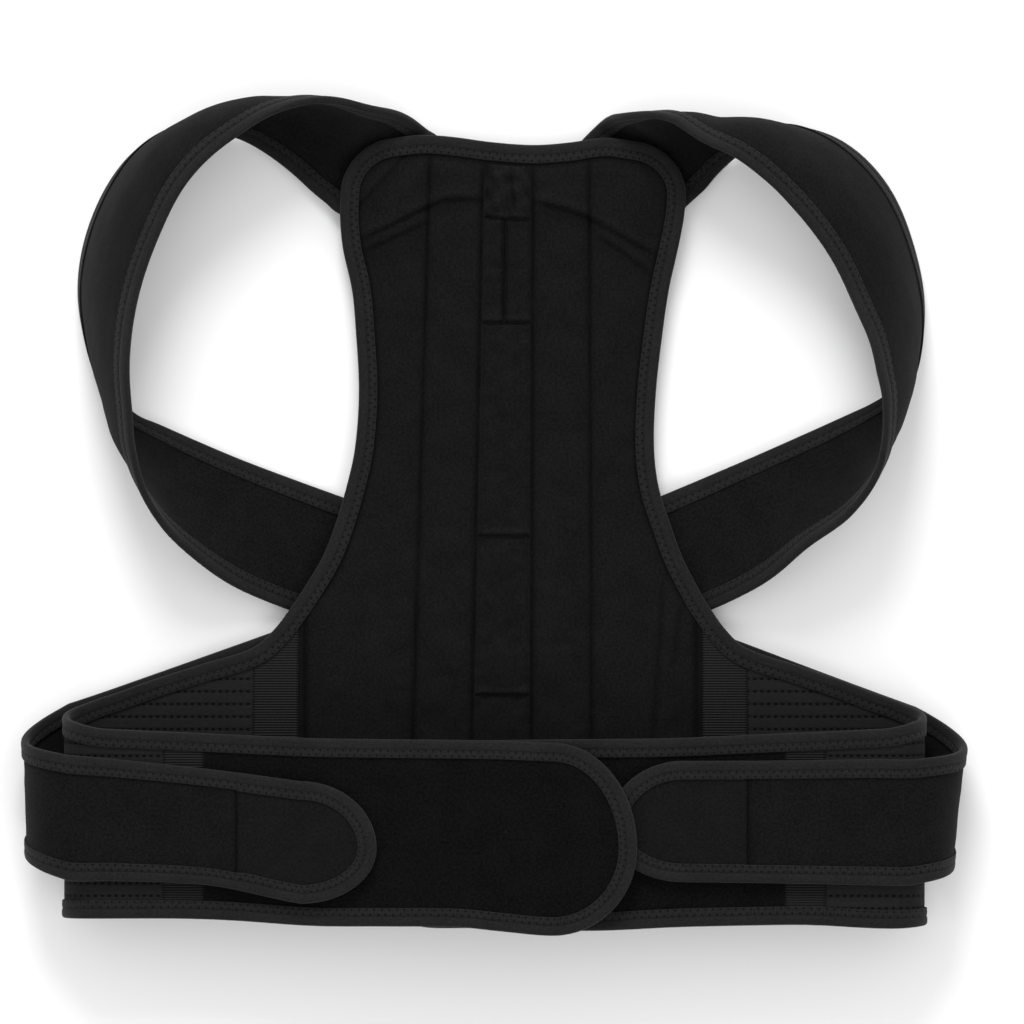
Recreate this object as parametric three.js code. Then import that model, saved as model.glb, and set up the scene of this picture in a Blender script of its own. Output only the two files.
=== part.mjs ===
// Posture corrector, lying on its back and open towards the viewer: a padded back panel, a belt that is
// folded round both sides, and two long shoulder straps that cross behind the panel.
// Millimetres and degrees. +X is right, +Y is the head end, +Z is up. Heights in the plane of the panel are
// measured from the lower edge of the belt, and left and right are the viewer's.
import * as THREE from "three";

// Cloth and tape
const CLOTH = 2; // laminated cloth of the belt and the straps
const TAPE = 1; // one wall of the binding tape
const TAPE_WIDTH = 10.4; // binding tape seen from one face
const GAP = 0.3; // clearance between pieces that touch

// Back panel
const PANEL_HEIGHT = 435.5;
const PANEL_TOP_WIDTH = 195;
const PANEL_CORNER = 27;
const PADDING = 3; // how far the channels stand up above the flat rim
const PADDING_SLOPE = 9; // width over which they rise
const SEAM_WIDTH = 6;
const SEAM_DEPTH = 0.55; // share of the padding lost at a seam
const TOP_WAVE = 4.4;
const STAY_COVER = 1.2; // thickness of the sewn pieces over the stay

// Belt
const BELT_SPAN = 484.8; // from fold to fold, outside
const BELT_HEIGHT = 102; // in front
const JOINT_HEIGHT = 179; // where the panel's side meets the belt
const BELT_FOLD = 19; // radius of the fold
const WEBBING_WIDTH = 26;
const FRONT_WEBBING_WIDTH = 22.5;
const FRONT_ELASTIC = 36; // elastic in front, from the fold's end
const FRONT_REACH = 299.6; // from the fold's end to the tip of the belt
const BELT_END = 46; // length of the round end
const FRONT_RISE = 10.4; // how far the upper belt end climbs over what lies below it

// Shoulder straps
const STRAP_WIDTH = 67.4;
const STRAP_OVERHANG = 23; // how far the strap's fold stands outside the belt's fold
const STRAP_REACH = 172; // from the fold's end to the tip of the strap
const STRAP_END = 41; // length of the round end
const TAB_LENGTH = 77;
const LOOP_REACH = 150; // arm loop, outwards from the panel's corner
const LOOP_DROP = 200; // arm loop, down from the panel's top
const LOOP_REST = 3.2; // height of the standing edge above the ground
const SEWN_END = 26; // hidden length of the strap's end behind the panel

// Sides of the panel above the joint: up is a share of the straight side, left and right are shares of
// half the top width
const PANEL_SIDE = [
  { up: 0, left: 1.124, right: 1.193 },
  { up: 0.1, left: 0.981, right: 1.072 },
  { up: 0.18, left: 0.906, right: 1.003 },
  { up: 0.27, left: 0.843, right: 0.935 },
  { up: 0.37, left: 0.791, right: 0.906 },
  { up: 0.51, left: 0.768, right: 0.917 },
  { up: 0.66, left: 0.786, right: 0.957 },
  { up: 0.76, left: 0.808, right: 0.992 },
  { up: 0.86, left: 0.86, right: 1.043 },
  { up: 0.94, left: 0.877, right: 1.078 },
  { up: 1, left: 0.872, right: 1.09 },
];

// Waves of the panel's top edge: across is a share of its width, rise a share of the wave's height
const TOP_EDGE = [
  { across: 0, rise: -0.4 },
  { across: 0.14, rise: 0.3 },
  { across: 0.23, rise: 0.75 },
  { across: 0.33, rise: 0.45 },
  { across: 0.43, rise: -0.15 },
  { across: 0.56, rise: -0.55 },
  { across: 0.67, rise: -0.2 },
  { across: 0.77, rise: 0.4 },
  { across: 0.86, rise: -0.1 },
  { across: 1, rise: -0.6 },
];

// Sewn seams between the channels: places at the top and the foot of the panel, in half top widths
const SEAMS = [
  { top: -0.37, foot: -0.5 },
  { top: -0.066, foot: -0.152 },
  { top: 0.222, foot: 0.212 },
  { top: 0.545, foot: 0.566 },
];

// Pieces sewn over the stay: heights are shares of the panel's height, from and to are shares of the
// middle channel
const STAY_PIECES = [
  { name: "stay_tongue", low: 0.904, high: 0.958, from: 0.06, to: 0.94 },
  { name: "stay_flap_left", low: 0.768, high: 0.899, from: 0.06, to: 0.43 },
  { name: "stay_flap_right", low: 0.768, high: 0.899, from: 0.47, to: 0.94 },
  { name: "stay_pocket", low: 0.493, high: 0.762, from: 0.06, to: 0.94 },
  { name: "stay_pocket_lower", low: 0.288, high: 0.486, from: 0.06, to: 0.94 },
];

// Edges of the belt's wings. along: 0 to 1 on the back, to 2 round the fold, to 3 in front. flare is the
// top edge's share of the way from the belt's height to the joint's; left and right are the lower edges,
// as shares of the belt's height
const WING = [
  { along: 0, flare: 1, left: 0, right: 0 },
  { along: 0.04, flare: 0.92, left: 0, right: 0 },
  { along: 0.11, flare: 0.785, left: 0, right: 0 },
  { along: 0.22, flare: 0.642, left: 0, right: 0 },
  { along: 0.5, flare: 0.51, left: 0.01, right: -0.01 },
  { along: 0.75, flare: 0.394, left: 0.016, right: -0.02 },
  { along: 1, flare: 0.27, left: 0.021, right: -0.03 },
  { along: 1.5, flare: 0.147, left: 0.021, right: -0.02 },
  { along: 2, flare: 0.052, left: 0.022, right: -0.033 },
  { along: 2.15, flare: 0.025, left: 0.022, right: -0.013 },
  { along: 2.25, flare: 0.008, left: 0.012, right: -0.015 },
  { along: 2.4, flare: -0.018, left: -0.017, right: -0.025 },
  { along: 2.54, flare: -0.025, left: -0.019, right: -0.044 },
  { along: 2.67, flare: -0.03, left: -0.022, right: -0.04 },
  { along: 2.75, flare: -0.035, left: -0.045, right: -0.03 },
  { along: 2.84, flare: -0.049, left: -0.069, right: -0.03 },
  { along: 3, flare: -0.049, left: -0.069, right: -0.03 },
];

// Straps round the belt, with along as above. top is the upper edge as a share of the belt's height; depth
// is the strap's upright extent and slant the lower edge's shift to the middle, as shares of its width
const ROUND_LEFT = [
  { along: 0, top: 1.616, depth: 0.945, slant: 0.327 },
  { along: 0.6, top: 1.345, depth: 0.97, slant: 0.24 },
  { along: 1, top: 1.171, depth: 0.98, slant: 0.08 },
  { along: 1.5, top: 0.984, depth: 0.94, slant: 0.03 },
  { along: 2, top: 0.896, depth: 1.007, slant: 0.02 },
  { along: 2.15, top: 0.874, depth: 0.975, slant: 0 },
  { along: 2.47, top: 0.817, depth: 0.929, slant: 0 },
  { along: 2.75, top: 0.754, depth: 0.975, slant: 0 },
  { along: 3, top: 0.7, depth: 0.975, slant: 0 },
];
const ROUND_RIGHT = [
  { along: 0, top: 1.591, depth: 0.945, slant: 0.327 },
  { along: 0.6, top: 1.325, depth: 0.97, slant: 0.24 },
  { along: 1, top: 1.152, depth: 0.99, slant: 0.12 },
  { along: 1.5, top: 0.946, depth: 0.984, slant: 0.11 },
  { along: 2, top: 0.872, depth: 1.007, slant: 0.05 },
  { along: 2.15, top: 0.872, depth: 1.007, slant: 0 },
  { along: 2.47, top: 0.864, depth: 0.979, slant: 0 },
  { along: 3, top: 0.862, depth: 0.958, slant: 0 },
];

// Arm loops, from the panel's corner to the panel's waist. out and down place the edge on the arm's side,
// as shares of the loop's reach and drop; heading, from the panel outwards, and tilt, up from the ground,
// point to the other edge; bow is the turn across the strap, all in degrees; hold is 1 where the panel
// holds the edge and 0 where it rests
const LOOP_LEFT = [
  { out: 0, down: 0.202, heading: 40, tilt: 0, bow: 0, hold: 1 },
  { out: 0.03, down: 0.187, heading: 42, tilt: 0, bow: 30, hold: 0.95 },
  { out: 0.056, down: 0.168, heading: 50, tilt: 12, bow: 55, hold: 0.7 },
  { out: 0.112, down: 0.134, heading: 54, tilt: 30, bow: 70, hold: 0.5 },
  { out: 0.182, down: 0.083, heading: 58, tilt: 40, bow: 90, hold: 0.4 },
  { out: 0.275, down: 0.029, heading: 58, tilt: 57, bow: 112, hold: 0.3 },
  { out: 0.373, down: -0.015, heading: 41, tilt: 74, bow: 122, hold: 0.2 },
  { out: 0.505, down: -0.04, heading: -30, tilt: 75, bow: 112, hold: 0.1 },
  { out: 0.71, down: -0.008, heading: -45, tilt: 61, bow: 85, hold: 0 },
  { out: 0.85, down: 0.09, heading: -40, tilt: 54, bow: 60, hold: 0 },
  { out: 0.95, down: 0.25, heading: -23, tilt: 55, bow: 50, hold: 0 },
  { out: 0.984, down: 0.42, heading: -11, tilt: 60, bow: 50, hold: 0 },
  { out: 0.94, down: 0.574, heading: -9, tilt: 70, bow: 55, hold: 0 },
  { out: 0.87, down: 0.69, heading: -22, tilt: 78, bow: 65, hold: 0 },
  { out: 0.787, down: 0.76, heading: -84, tilt: 76, bow: 80, hold: 0.1 },
  { out: 0.69, down: 0.79, heading: -105, tilt: 60, bow: 65, hold: 0.3 },
  { out: 0.541, down: 0.838, heading: -111, tilt: 42, bow: 45, hold: 0.6 },
  { out: 0.373, down: 0.89, heading: -110, tilt: 26, bow: 20, hold: 0.9 },
  { out: 0.187, down: 0.942, heading: -111, tilt: 10, bow: 0, hold: 1 },
  { out: -0.026, down: 1, heading: -112, tilt: 0, bow: 0, hold: 1 },
];
const LOOP_RIGHT = [
  { out: 0, down: 0.179, heading: 30, tilt: 0, bow: 0, hold: 1 },
  { out: 0.045, down: 0.148, heading: 35, tilt: 0, bow: 30, hold: 0.95 },
  { out: 0.065, down: 0.134, heading: 38, tilt: 8, bow: 50, hold: 0.8 },
  { out: 0.082, down: 0.12, heading: 39, tilt: 20, bow: 65, hold: 0.6 },
  { out: 0.12, down: 0.084, heading: 40, tilt: 37, bow: 90, hold: 0.4 },
  { out: 0.16, down: 0.056, heading: 38, tilt: 54, bow: 112, hold: 0.3 },
  { out: 0.225, down: 0.014, heading: -7, tilt: 76, bow: 125, hold: 0.2 },
  { out: 0.36, down: -0.04, heading: -58, tilt: 61, bow: 108, hold: 0.1 },
  { out: 0.52, down: -0.028, heading: -60, tilt: 47, bow: 75, hold: 0 },
  { out: 0.66, down: 0.035, heading: -57, tilt: 40, bow: 55, hold: 0 },
  { out: 0.78, down: 0.146, heading: -52, tilt: 39, bow: 50, hold: 0 },
  { out: 0.85, down: 0.289, heading: -47, tilt: 44, bow: 50, hold: 0 },
  { out: 0.89, down: 0.437, heading: -39, tilt: 55, bow: 50, hold: 0 },
  { out: 0.87, down: 0.58, heading: -35, tilt: 65, bow: 55, hold: 0 },
  { out: 0.815, down: 0.68, heading: -38, tilt: 77, bow: 65, hold: 0 },
  { out: 0.72, down: 0.727, heading: -100, tilt: 75, bow: 80, hold: 0.1 },
  { out: 0.623, down: 0.76, heading: -113, tilt: 58, bow: 65, hold: 0.3 },
  { out: 0.463, down: 0.813, heading: -114, tilt: 41, bow: 45, hold: 0.6 },
  { out: 0.287, down: 0.871, heading: -112, tilt: 32, bow: 25, hold: 0.8 },
  { out: 0.101, down: 0.93, heading: -113, tilt: 14, bow: 0, hold: 1 },
  { out: -0.09, down: 0.99, heading: -113, tilt: 0, bow: 0, hold: 1 },
];

// Numbers of sections
const LOOP_SECTIONS = 32;
const FOLD_SECTIONS = 8;
const END_SECTIONS = 6;
const LEAST_STEP = 2; // between columns of the panel
const LEAST_EDGE = 1.5; // between points of the belt's binding
const CLIMB_START = -0.8; // where the upper belt end starts and stops climbing, in half belt spans
const CLIMB_STOP = 0.18;
const ROUND_TO = 86; // a round end's last section, of 90 degrees

// Worked out from the sizes above: one bound layer, the levels of the middle surfaces, and the folds
const SLOT = CLOTH / 2 + GAP; // half height of the slot in the binding
const HALF_LAYER = SLOT + TAPE;
const RIM = GAP + TAPE; // how far the binding stands beyond the cloth
const LAYER = 2 * HALF_LAYER + GAP;
const LOWER_STRAP = HALF_LAYER;
const UPPER_STRAP = LOWER_STRAP + LAYER;
const PANEL_LEVEL = UPPER_STRAP + LAYER;
const FRONT_LEVEL = PANEL_LEVEL + 2 * BELT_FOLD;
const FRONT_LAYER = LAYER + GAP; // a little more room where the layers slope
const BELT_EXTREME = BELT_SPAN / 2 - HALF_LAYER;
const HALF_TOP = PANEL_TOP_WIDTH / 2;
const SIDE_HEIGHT = PANEL_HEIGHT - JOINT_HEIGHT - PANEL_CORNER;
const COVERED = TAPE_WIDTH - RIM + 3 * GAP; // flat rim of a cloth, in and next to its binding
const TIP_DROP = 0.55; // where a round end is longest, from its upper edge
const RADIANS = Math.PI / 180;

const group = new THREE.Group();

function add(name, geometry, colour, roughness) {
  const material = new THREE.MeshStandardMaterial({ color: colour, roughness, metalness: 0 });
  const mesh = new THREE.Mesh(geometry, material);
  mesh.name = name;
  group.add(mesh);
}

// A smooth curve through a table: the value of one column for any value of another
function curve(rows, at, column) {
  const slope = (i) => {
    const before = rows[Math.max(i - 1, 0)];
    const after = rows[Math.min(i + 1, rows.length - 1)];
    return (after[column] - before[column]) / (after[at] - before[at]);
  };
  return (where) => {
    let i = 0;
    while (i < rows.length - 2 && where > rows[i + 1][at]) i++;
    const step = rows[i + 1][at] - rows[i][at];
    const t = THREE.MathUtils.clamp((where - rows[i][at]) / step, 0, 1);
    const [a, b] = [rows[i][column], rows[i + 1][column]];
    const [p, q] = [slope(i) * step, slope(i + 1) * step];
    return a + t * (p + t * (3 * (b - a) - 2 * p - q + t * (2 * (a - b) + p + q)));
  };
}

// Evenly spread values, both ends included
function spread(from, to, steps) {
  return Array.from({ length: steps + 1 }, (_, i) => from + ((to - from) * i) / steps);
}

// A closed solid through sections. Each section is two chains of points, one for each face, and the solid
// is closed by its ends. Where four corners aren't in one plane, the fold between them goes from a point
// of the chain to the next one's next, or the other way where folds says so, and the lower face is folded
// as the upper one is, which keeps the walls of a twisted piece apart
function loft(sections, folds = []) {
  const chain = sections[0].upper.length;
  const points = sections.flatMap((s) => [...s.upper, ...[...s.lower].reverse()]);
  const round = 2 * chain;
  const faces = [];
  const quad = (a, b, c, d, other) => faces.push(...(other ? [b, c, d, b, d, a] : [a, b, c, a, c, d]));
  for (let i = 0; i < sections.length - 1; i++) {
    const here = i * round;
    const next = here + round;
    for (let j = 0; j < round; j++) {
      const k = (j + 1) % round;
      const other = j < chain ? folds[j] : !folds[round - 2 - j];
      quad(here + j, here + k, next + k, next + j, other);
    }
  }
  const last = (sections.length - 1) * round;
  for (let j = 0; j < chain - 1; j++) {
    const [k, l] = [round - 1 - j, round - 2 - j];
    quad(j, k, l, j + 1);
    quad(last + j, last + j + 1, last + l, last + k);
  }
  const volume = faces.reduce((sum, _, i) => {
    if (i % 3) return sum;
    const [a, b, c] = faces.slice(i, i + 3).map((index) => points[index]);
    return sum + a.dot(new THREE.Vector3().crossVectors(b, c));
  }, 0);
  if (volume < 0) faces.reverse();
  const geometry = new THREE.BufferGeometry().setFromPoints(points);
  geometry.setIndex(faces);
  geometry.computeVertexNormals();
  return geometry;
}

// Binding tape: a channel round the edge of the cloth. Each frame places a point by its distance beyond the
// cloth's edge and its height above the cloth's middle
function channel(frames) {
  const inside = RIM - TAPE_WIDTH;
  return loft(
    frames.map((at) => ({
      upper: [at(inside, HALF_LAYER), at(RIM, HALF_LAYER), at(RIM, -HALF_LAYER), at(inside, -HALF_LAYER)],
      lower: [at(inside, SLOT), at(GAP, SLOT), at(GAP, -SLOT), at(inside, -SLOT)],
    })),
    [false, false, true],
  );
}

// The way of a belt round one side: flat on the back, half round at the fold, then flat in front. way is the
// length along it from the middle of the back, and rise lifts the front by its place across
function track(side, extreme, radius, level, frontLevel, rise) {
  const bend = extreme - radius;
  const half = Math.PI * radius;
  const turn = (frontLevel - level) / 2;
  const place = (way) => {
    if (way <= bend) return [way, level];
    const angle = (way - bend) / radius;
    if (angle < Math.PI) return [bend + radius * Math.sin(angle), level + turn * (1 - Math.cos(angle))];
    const across = bend - (way - bend - half);
    return [across, frontLevel];
  };
  const lifted = (way) => {
    const [across, height] = place(way);
    return new THREE.Vector2(across, way > bend + half ? height + rise(side * across) : height);
  };
  return {
    bend,
    front: bend + half,
    // a point at a way and a height, off the middle surface towards the wearer
    at(way, y, off) {
      const step = 0.01;
      const along = lifted(way + step).sub(lifted(way - step)).normalize();
      const here = lifted(way);
      return new THREE.Vector3(side * (here.x - off * along.y), y, here.y + off * along.x);
    },
    // the way for a place given as 0 to 1 on the back, to 2 round the fold and to 3 in front
    way(along, start, reach) {
      if (along <= 1) return start + along * (bend - start);
      if (along <= 2) return bend + (along - 1) * half;
      return bend + half + (along - 2) * reach;
    },
    along(way, start, reach) {
      if (way <= bend) return (way - start) / (bend - start);
      if (way <= bend + half) return 1 + (way - bend) / half;
      return 2 + (way - bend - half) / reach;
    },
  };
}

// Ways and edges of a round end of a band: it keeps its edges up to its start, then both close in an ellipse
function roundEnd(finish, length, top, bottom) {
  const start = finish - length;
  return spread(0, ROUND_TO * RADIANS, END_SECTIONS).map((angle) => {
    const tip = top(start) + (bottom(start) - top(start)) * TIP_DROP;
    return {
      way: start + length * Math.sin(angle),
      top: tip + (top(start) - tip) * Math.cos(angle),
      bottom: tip + (bottom(start) - tip) * Math.cos(angle),
    };
  });
}

// A flat band of cloth on a track
function band(on, stations) {
  const half = CLOTH / 2;
  return loft(
    stations.map(({ way, top, bottom }) => ({
      upper: [on.at(way, top, half), on.at(way, bottom, half)],
      lower: [on.at(way, top, -half), on.at(way, bottom, -half)],
    })),
  );
}

// Back panel

const seamAt = (seam, height) => {
  const up = height / PANEL_HEIGHT;
  return HALF_TOP * (seam.foot + (seam.top - seam.foot) * up);
};

const sideOf = (side) => curve(PANEL_SIDE, "up", side < 0 ? "left" : "right");

// Place across of the panel's edge at a height, or of a line that runs inside it
function panelEdge(side, height, inside = 0) {
  const straight = HALF_TOP * sideOf(side)(Math.max((height - JOINT_HEIGHT) / SIDE_HEIGHT, 0));
  const over = height - JOINT_HEIGHT - SIDE_HEIGHT;
  if (over <= 0) return side * (straight - inside);
  const radius = Math.max(PANEL_CORNER - inside, over);
  return side * (straight - PANEL_CORNER + Math.sqrt(radius ** 2 - over ** 2));
}

function panelRows() {
  const joint = JOINT_HEIGHT;
  const corner = joint + SIDE_HEIGHT;
  return [
    0,
    COVERED,
    COVERED + PADDING_SLOPE,
    ...spread(COVERED + PADDING_SLOPE, joint, 4).slice(1),
    ...PANEL_SIDE.slice(1, -1).map((row) => joint + row.up * SIDE_HEIGHT),
    corner,
    PANEL_HEIGHT - COVERED - PADDING_SLOPE,
    PANEL_HEIGHT - COVERED,
    ...[52, 70, 90].map((angle) => corner + PANEL_CORNER * Math.sin(angle * RADIANS)),
  ];
}

// Places across the panel at a height: the rim, the slope of the padding, and three for each seam
function panelColumns(height) {
  const [left, right] = [panelEdge(-1, height), panelEdge(1, height)];
  const seams = SEAMS.flatMap((seam) => {
    const middle = seamAt(seam, height);
    return [middle - SEAM_WIDTH / 2, middle, middle + SEAM_WIDTH / 2];
  });
  const [rimLeft, rimRight] = [
    Math.max(panelEdge(-1, height, COVERED), left + LEAST_STEP),
    Math.min(panelEdge(1, height, COVERED), right - LEAST_STEP),
  ];
  return [
    left,
    rimLeft,
    Math.max(panelEdge(-1, height, COVERED + PADDING_SLOPE), rimLeft + LEAST_STEP),
    ...seams,
    Math.min(panelEdge(1, height, COVERED + PADDING_SLOPE), rimRight - LEAST_STEP),
    rimRight,
    right,
  ];
}

const topWave = curve(TOP_EDGE, "across", "rise");
const [topLeft, topRight] = [-1, 1].map((side) => panelEdge(side, PANEL_HEIGHT - PANEL_CORNER));

// Height in the panel's plane, with the waves of the top edge let in over its upper part
function waved(x, height) {
  const fade = THREE.MathUtils.smoothstep(height, PANEL_HEIGHT - 3 * PANEL_CORNER, PANEL_HEIGHT);
  return height + TOP_WAVE * fade * topWave((x - topLeft) / (topRight - topLeft));
}

const rows = panelRows();
const grid = rows.map((height) => panelColumns(height).map((x) => new THREE.Vector2(x, waved(x, height))));
const lastRow = grid[grid.length - 1];
const panelOutline = [
  ...grid.map((row) => row[row.length - 1]),
  ...lastRow.slice(1, -1).reverse(),
  ...grid.map((row) => row[0]).reverse(),
];

// Distance of a place on the panel from its outline
function inset(point) {
  return Math.min(
    ...panelOutline.map((from, i) => {
      const to = panelOutline[(i + 1) % panelOutline.length];
      const line = new THREE.Line3(new THREE.Vector3(from.x, from.y, 0), new THREE.Vector3(to.x, to.y, 0));
      const here = new THREE.Vector3(point.x, point.y, 0);
      return line.closestPointToPoint(here, true, new THREE.Vector3()).distanceTo(here);
    }),
  );
}

// How far the padding stands up at a column of the grid
function padding(point, column) {
  const full = THREE.MathUtils.smoothstep(inset(point), COVERED, COVERED + PADDING_SLOPE);
  const seam = column > 3 && column < 15 && column % 3 === 1;
  return PADDING * full * (seam ? 1 - SEAM_DEPTH : 1);
}

const panelTop = (point, column) => PANEL_LEVEL + CLOTH / 2 + padding(point, column);

function backPanel() {
  return loft(
    grid.map((row) => ({
      upper: row.map((p, i) => new THREE.Vector3(p.x, p.y, panelTop(p, i))),
      lower: row.map((p) => new THREE.Vector3(p.x, p.y, PANEL_LEVEL - CLOTH / 2)),
    })),
  );
}

// A thin piece of cloth on the middle channel, between the two inner seams
function stayPiece({ low, high, from, to }) {
  const base = PANEL_LEVEL + CLOTH / 2 + PADDING + GAP;
  return loft(
    [low * PANEL_HEIGHT, high * PANEL_HEIGHT].map((height) => {
      const left = seamAt(SEAMS[1], height) + SEAM_WIDTH / 2;
      const width = seamAt(SEAMS[2], height) - SEAM_WIDTH / 2 - left;
      const places = [from, to].map((share) => left + width * share);
      return {
        upper: places.map((x) => new THREE.Vector3(x, height, base + STAY_COVER)),
        lower: places.map((x) => new THREE.Vector3(x, height, base)),
      };
    }),
  );
}

add("back_panel", backPanel(), 0x1d1d1e, 0.95);
for (const piece of STAY_PIECES) add(piece.name, stayPiece(piece), 0x202021, 0.95);

// Belt

const climb = (x) =>
  FRONT_RISE * THREE.MathUtils.smootherstep(x, CLIMB_START * BELT_EXTREME, CLIMB_STOP * BELT_EXTREME);
const level = () => 0;
const beltTracks = {
  [-1]: track(-1, BELT_EXTREME, BELT_FOLD, PANEL_LEVEL, FRONT_LEVEL, climb),
  1: track(1, BELT_EXTREME, BELT_FOLD, PANEL_LEVEL, FRONT_LEVEL, level),
};

// The wing on one side: its stations along the track, cut into pieces by the widths of their tapes
function wing(side) {
  const on = beltTracks[side];
  const start = Math.abs(panelEdge(side, 0));
  const finish = on.front + FRONT_REACH;
  const flare = curve(WING, "along", "flare");
  const lower = curve(WING, "along", side < 0 ? "left" : "right");
  const place = (way) => on.along(way, start, FRONT_REACH);
  const top = (way) => BELT_HEIGHT + flare(place(way)) * (JOINT_HEIGHT - BELT_HEIGHT);
  const bottom = (way) => BELT_HEIGHT * lower(place(way));
  const station = (way) => ({ way, top: top(way), bottom: bottom(way) });
  const cuts = [
    start + GAP,
    start + WEBBING_WIDTH,
    on.front + FRONT_ELASTIC,
    on.front + FRONT_ELASTIC + FRONT_WEBBING_WIDTH,
    finish,
  ];
  const round = roundEnd(finish, BELT_END, top, bottom);
  const flat = round[0].way;
  const pieces = {
    back_webbing: [0.04, 0.11].map((along) => on.way(along, start, FRONT_REACH)),
    side_elastic: [
      ...[0.35, 0.5, 0.75].map((along) => on.way(along, start, FRONT_REACH)),
      ...spread(on.bend, on.front, FOLD_SECTIONS),
      on.way(2.1, start, FRONT_REACH),
    ],
    front_webbing: [],
    front_pad: spread(cuts[3], flat, 6).slice(1, -1),
  };
  return Object.entries(pieces).map(([name, inner], i) => {
    const last = i === 3;
    const ways = [cuts[i] + (i ? GAP : 0), ...inner.filter((w) => w > cuts[i] + 1 && w < cuts[i + 1] - 1)];
    const stations = [...ways.map(station), ...(last ? round : [station(cuts[i + 1])])];
    return { name, stations };
  });
}

const COLOURS = {
  back_webbing: [0x2b2b2c, 0.85],
  side_elastic: [0x262627, 0.9],
  front_webbing: [0x2b2b2c, 0.85],
  front_pad: [0x121213, 1],
};
const wings = { [-1]: wing(-1), 1: wing(1) };
for (const side of [-1, 1])
  for (const { name, stations } of wings[side])
    add(name + (side < 0 ? "_left" : "_right"), band(beltTracks[side], stations), ...COLOURS[name]);

// The edge of panel and belt as one closed line in the flat, and the binding round it. The tape is in four
// runs, which start at the cuts: round the panel, round each belt end, and along the panel's lower edge

function beltEdge() {
  const line = [];
  const joint = rows.indexOf(JOINT_HEIGHT);
  const put = (across, y, straight = 0, cut = false) => {
    const before = line[line.length - 1];
    if (before && !before.cut && Math.hypot(before.x - across, before.y - y) < LEAST_EDGE) return;
    line.push({ x: across, y, straight, cut });
  };
  // One edge of a wing, from the panel outwards. The first piece of cloth, the webbing, ends at a cut
  const wingEdge = (side, edge) => {
    const upright = edge === "top" ? 1 : -1;
    const on = beltTracks[side];
    const limit = on.front + FRONT_REACH - BELT_END;
    return wings[side].flatMap(({ stations }, piece) =>
      stations.map((s, i) => {
        const held = s.way >= on.bend - 1 && s.way <= limit - 1;
        return [side * s.way, s[edge], held ? upright : 0, piece < 2 && i === (piece ? 0 : stations.length - 1)];
      }),
    );
  };
  for (const row of grid.slice(joint)) put(row[row.length - 1].x, row[row.length - 1].y);
  for (const p of lastRow.slice(1, -1).reverse()) put(p.x, p.y);
  for (const row of grid.slice(joint).reverse()) put(row[0].x, row[0].y);
  for (const point of wingEdge(-1, "top")) put(...point);
  for (const point of wingEdge(-1, "bottom").reverse()) put(...point);
  for (const p of grid[0].filter((_, i) => i % 3 === 1)) put(p.x, p.y);
  for (const point of wingEdge(1, "bottom")) put(...point);
  for (const point of wingEdge(1, "top").reverse()) put(...point);
  return line;
}

// A frame at each point of a line in the flat of a band, pointing out of the band on its right-hand side
function edgeFrames(line, place, ring) {
  return line.map((here, i) => {
    const before = line[ring ? (i + line.length - 1) % line.length : Math.max(i - 1, 0)];
    const after = line[ring ? (i + 1) % line.length : Math.min(i + 1, line.length - 1)];
    const into = new THREE.Vector2(here.x - before.x, here.y - before.y).normalize();
    const from = new THREE.Vector2(after.x - here.x, after.y - here.y).normalize();
    const way = into.add(from).normalize();
    const out = here.straight ? new THREE.Vector2(0, here.straight) : new THREE.Vector2(way.y, -way.x);
    return (beyond, off) => place(here.x + beyond * out.x, here.y + beyond * out.y, off);
  });
}

const onBelt = (across, y, off) => beltTracks[across < 0 ? -1 : 1].at(Math.abs(across), y, off);
const edgeLine = beltEdge();
const edgeRing = edgeFrames(edgeLine, onBelt, true);
const edgeCuts = edgeLine.flatMap((point, i) => (point.cut && edgeLine[i + 1].cut ? [i + 1] : []));
const ringOnward = [...edgeRing.slice(edgeCuts[3]), ...edgeRing.slice(0, edgeCuts[0])];
const tapeRuns = {
  panel_binding: ringOnward,
  belt_binding_left: edgeRing.slice(edgeCuts[0], edgeCuts[1]),
  hem_binding: edgeRing.slice(edgeCuts[1], edgeCuts[2]),
  belt_binding_right: edgeRing.slice(edgeCuts[2], edgeCuts[3]),
};
for (const [name, frames] of Object.entries(tapeRuns)) add(name, channel(frames), 0x353536, 0.9);

// Shoulder straps

// A section across a strap: two edges, the turn between them and the side that it bulges to
function section(first, second, outward, bow) {
  const turn = Math.max(bow * RADIANS, 0.002);
  const radius = STRAP_WIDTH / turn;
  const across = second.clone().sub(first).normalize();
  const out = outward.clone().addScaledVector(across, -outward.dot(across)).normalize();
  const middle = first.clone().add(second).multiplyScalar(0.5);
  const centre = middle.addScaledVector(out, -radius * Math.cos(turn / 2));
  return (width, off) => {
    const angle = turn * (width / STRAP_WIDTH - 0.5);
    return centre
      .clone()
      .addScaledVector(out, (radius - off) * Math.cos(angle))
      .addScaledVector(across, (radius - off) * Math.sin(angle));
  };
}

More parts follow.
